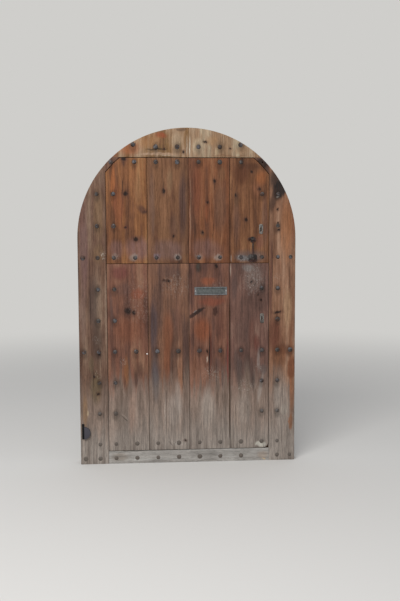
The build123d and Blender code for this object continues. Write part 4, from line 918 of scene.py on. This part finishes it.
def hammered_studs(node, body, face, material, seed):
    """Studs with heads that differ in size, turn, tilt and height, rounded by wear."""
    chance = random.Random(seed)
    piece = copied(node, "hammered_" + node)
    for group in islands(piece.data):
        middle_x, middle_z, head = head_middle(group, face)
        size, flat, turn = chance.uniform(*HEAD_SIZES), chance.uniform(*HEAD_HEIGHTS), chance.uniform(0, 1.0)
        if middle_z < WORN_DOWN:
            flat *= WORN_HEAD
        tilt_x, tilt_z = chance.uniform(*HEAD_TILTS), chance.uniform(*HEAD_TILTS)
        for vertex in head:
            along, up = vertex.co.x - middle_x, vertex.co.z - middle_z
            if along ** 2 + up ** 2 < SHANK_RADIUS ** 2 and vertex.co.y > face - HEAD_DEPTH:
                continue
            if vertex.co.y < face - HEAD_DEPTH:
                vertex.co.y = face + (vertex.co.y - face) * flat + along * tilt_x + up * tilt_z
            vertex.co.x = middle_x + size * (along * cos(turn) - up * sin(turn))
            vertex.co.z = middle_z + size * (along * sin(turn) + up * cos(turn))
    reshaped(piece, "worn round", "SUBSURF", levels=2, render_levels=2)
    dressed(piece, body, node, material, HEAD_ANGLE)


for leaf, woods, reach, seed, step in (("upper", upper_woods, PLANK_REACH, 0, 3.1),
                                       ("lower", lower_woods, NO_REACH, 40, 3.7)):
    for count, material in enumerate(woods, 1):
        node = f"{leaf}_plank_{count}"
        worn_board(node, f"{leaf}_leaf", material, WORN_SIDES[count], bites=BITES.get(node, ()), reach=reach,
                   ease=FINE_ARRIS, seed=seed + count * step)

worn_board("left_board", "frame", left_wood, "right", nearer=LEFT_BOARD_REACH, ease=FINE_ARRIS, seed=71)
worn_board("right_board", "frame", right_wood, nearer=RIGHT_BOARD_REACH, ease=FINE_ARRIS, seed=75)
worn_board("tympanum_board_left", "frame", arch_wood_left, "right", seed=81)
worn_board("tympanum_board_right", "frame", arch_wood_right, "left", seed=85)
worn_board("bottom_board", "frame", bottom_wood, seed=91)
worn_board("corner_block_left", "frame", corner_wood, seed=95)
worn_board("corner_block_right", "frame", corner_wood, seed=99)

for node in ("left_post", "right_post", "arch_rib_left", "arch_rib_right"):
    worn_board(node, "frame", frame_wood, hollow=PLAIN_HOLLOW, seed=len(node))
for node in ("head_rail", "sill_rail"):
    worn_board(node, "frame", rail_wood, hollow=PLAIN_HOLLOW, seed=len(node))
for leaf, reach in (("upper", ABOVE_SLIT), ("lower", BELOW_SLIT)):
    for side in ("hinge", "lock"):
        worn_board(f"{leaf}_{side}_stile", f"{leaf}_leaf", frame_wood, hollow=PLAIN_HOLLOW, reach=reach,
                   seed=len(leaf + side))
for leaf, place, reach, seed in (("upper", "top", NO_REACH, 14), ("upper", "bottom", ABOVE_SLIT, 17),
                                 ("lower", "top", BELOW_SLIT, 18), ("lower", "mid", NO_REACH, 19),
                                 ("lower", "bottom", NO_REACH, 20)):
    worn_board(f"{leaf}_{place}_rail", f"{leaf}_leaf", rail_wood, hollow=PLAIN_HOLLOW, reach=reach, seed=seed)

for seed, (node, body, face) in enumerate(STUD_NODES, 11):
    hammered_studs(node, body, face, stud_iron, seed)

forged("pintles", "frame", plain_iron)
for leaf in ("upper", "lower"):
    for end in ("top", "bottom"):
        forged(f"{leaf}_strap_{end}", f"{leaf}_leaf", plain_iron)
    forged(f"{leaf}_keeper", "frame", plain_iron)
    forged(f"{leaf}_small_nails", f"{leaf}_leaf", plain_iron, SHEET_EDGE)
    forged(f"{leaf}_lock_case", f"{leaf}_leaf", plain_iron)
    forged(f"{leaf}_lock_bolt", f"{leaf}_lock_bolt", plain_iron, lumps=SMOOTH)
    forged(f"{leaf}_escutcheon", f"{leaf}_leaf", lock_iron, SHEET_EDGE)
forged("tie_barrel", "lower_leaf", plain_iron)
forged("tie_bolt", "tie_bolt", plain_iron, lumps=SMOOTH)
forged("tie_keeper", "upper_leaf", plain_iron)
forged("letter_plate", "lower_leaf", plate_iron, SHEET_EDGE)
forged("letter_flap", "letter_flap", flap_iron, SHEET_EDGE, FINE_LUMPS)
forged("letter_flap_pin", "lower_leaf", plate_iron, PIN_EDGE, SMOOTH)
forged("letter_plate_screws", "lower_leaf", screw_iron, SCREW_EDGE, SMOOTH)
forged("knocker_staple", "upper_leaf", rusty_iron)
forged("knocker", "knocker", rusty_iron)
forged("knocker_strike", "upper_leaf", rusty_iron)
forged("edge_buffer", "frame", pad_skin, PAD_ROUNDING, SMOOTH)

# Stage, in metres, degrees, watts and millimetres of lens
BACKDROP = "cfcecb"
FLOOR_RADIUS = 14
FLOOR_TOP = -0.0005
FAR_AWAY = (2.2, 7.5)
SKY_STRENGTH = 0.62
LAMP_PLACE = (-1.6, -4.2, 4.6)
LAMP_AIM = (0.0, 0.0, 1.0)
LAMP_WIDTH = 3.2
LAMP_DEPTH = 2.4
LAMP_POWER = 260
CAMERA_PLACE = (-0.226, -4.603, 1.386)
CAMERA_YAW = 3.79
CAMERA_PITCH = 4.62
CAMERA_ROLL = -0.24
LENS = 44.33
SENSOR = 36.0


def make_floor():
    """Plain pale floor, which runs into the backdrop colour far away."""
    bpy.ops.mesh.primitive_circle_add(vertices=64, radius=FLOOR_RADIUS, fill_type="NGON",
                                      location=(0, 0, FLOOR_TOP))
    floor = bpy.context.object
    floor.name = "floor"
    material, tree, surface, place = blank("pale floor")
    surface.inputs["Base Color"].default_value = paint("cccac6")
    surface.inputs["Roughness"].default_value = 0.9
    away = add(tree, "ShaderNodeVectorMath", {0: place}, operation="LENGTH").outputs["Value"]
    seen = add(tree, "ShaderNodeLightPath").outputs["Is Camera Ray"]
    far = maths(tree, "MULTIPLY", spread(tree, away, *FAR_AWAY), seen)
    glow = add(tree, "ShaderNodeEmission", {"Color": paint(BACKDROP)})
    shown = add(tree, "ShaderNodeMixShader", {0: far, 1: surface.outputs[0], 2: glow.outputs[0]})
    tree.links.new(shown.outputs[0], tree.nodes["Material Output"].inputs["Surface"])
    floor.data.materials.append(material)


def make_light():
    """Soft daylight from the sky, with one wide lamp high in front."""
    world = bpy.data.worlds.new("sky")
    bpy.context.scene.world = world
    world.use_nodes = True
    tree = world.node_tree
    tree.nodes.clear()
    rays = add(tree, "ShaderNodeLightPath")
    seen = maths(tree, "MAXIMUM", rays.outputs["Is Camera Ray"], rays.outputs["Is Glossy Ray"])
    seen = maths(tree, "MAXIMUM", seen, rays.outputs["Is Transmission Ray"])
    sky = add(tree, "ShaderNodeBackground", {"Color": paint("f2f4f8"), "Strength": SKY_STRENGTH})
    wall = add(tree, "ShaderNodeBackground", {"Color": paint(BACKDROP), "Strength": 1.0})
    shown = add(tree, "ShaderNodeMixShader", {0: seen, 1: sky.outputs[0], 2: wall.outputs[0]})
    add(tree, "ShaderNodeOutputWorld", {"Surface": shown.outputs[0]})
    bpy.ops.object.light_add(type="AREA", location=LAMP_PLACE)
    lamp = bpy.context.object
    lamp.name = "high_lamp"
    lamp.data.shape = "RECTANGLE"
    lamp.data.size = LAMP_WIDTH
    lamp.data.size_y = LAMP_DEPTH
    lamp.data.energy = LAMP_POWER
    aim = Vector(LAMP_AIM) - lamp.location
    lamp.rotation_euler = aim.to_track_quat("-Z", "Y").to_euler()


def make_camera():
    """Camera at the standing height of a person in front of the door."""
    yaw, pitch, roll = radians(CAMERA_YAW), radians(CAMERA_PITCH), radians(CAMERA_ROLL)
    forward = Vector((sin(yaw) * cos(pitch), cos(yaw) * cos(pitch), -sin(pitch)))
    level = Vector((cos(yaw), -sin(yaw), 0.0))
    upright = level.cross(forward)
    right = level * cos(roll) + upright * sin(roll)
    up = upright * cos(roll) - level * sin(roll)
    turn = Matrix((right, up, -forward)).transposed().to_4x4()
    data = bpy.data.cameras.new("camera")
    data.lens = LENS
    data.sensor_width = SENSOR
    data.sensor_fit = "AUTO"
    camera = bpy.data.objects.new("camera", data)
    bpy.context.collection.objects.link(camera)
    camera.matrix_world = Matrix.Translation(CAMERA_PLACE) @ turn
    bpy.context.scene.camera = camera


make_floor()
make_light()
make_camera()
bpy.context.scene.view_settings.view_transform = "Standard"
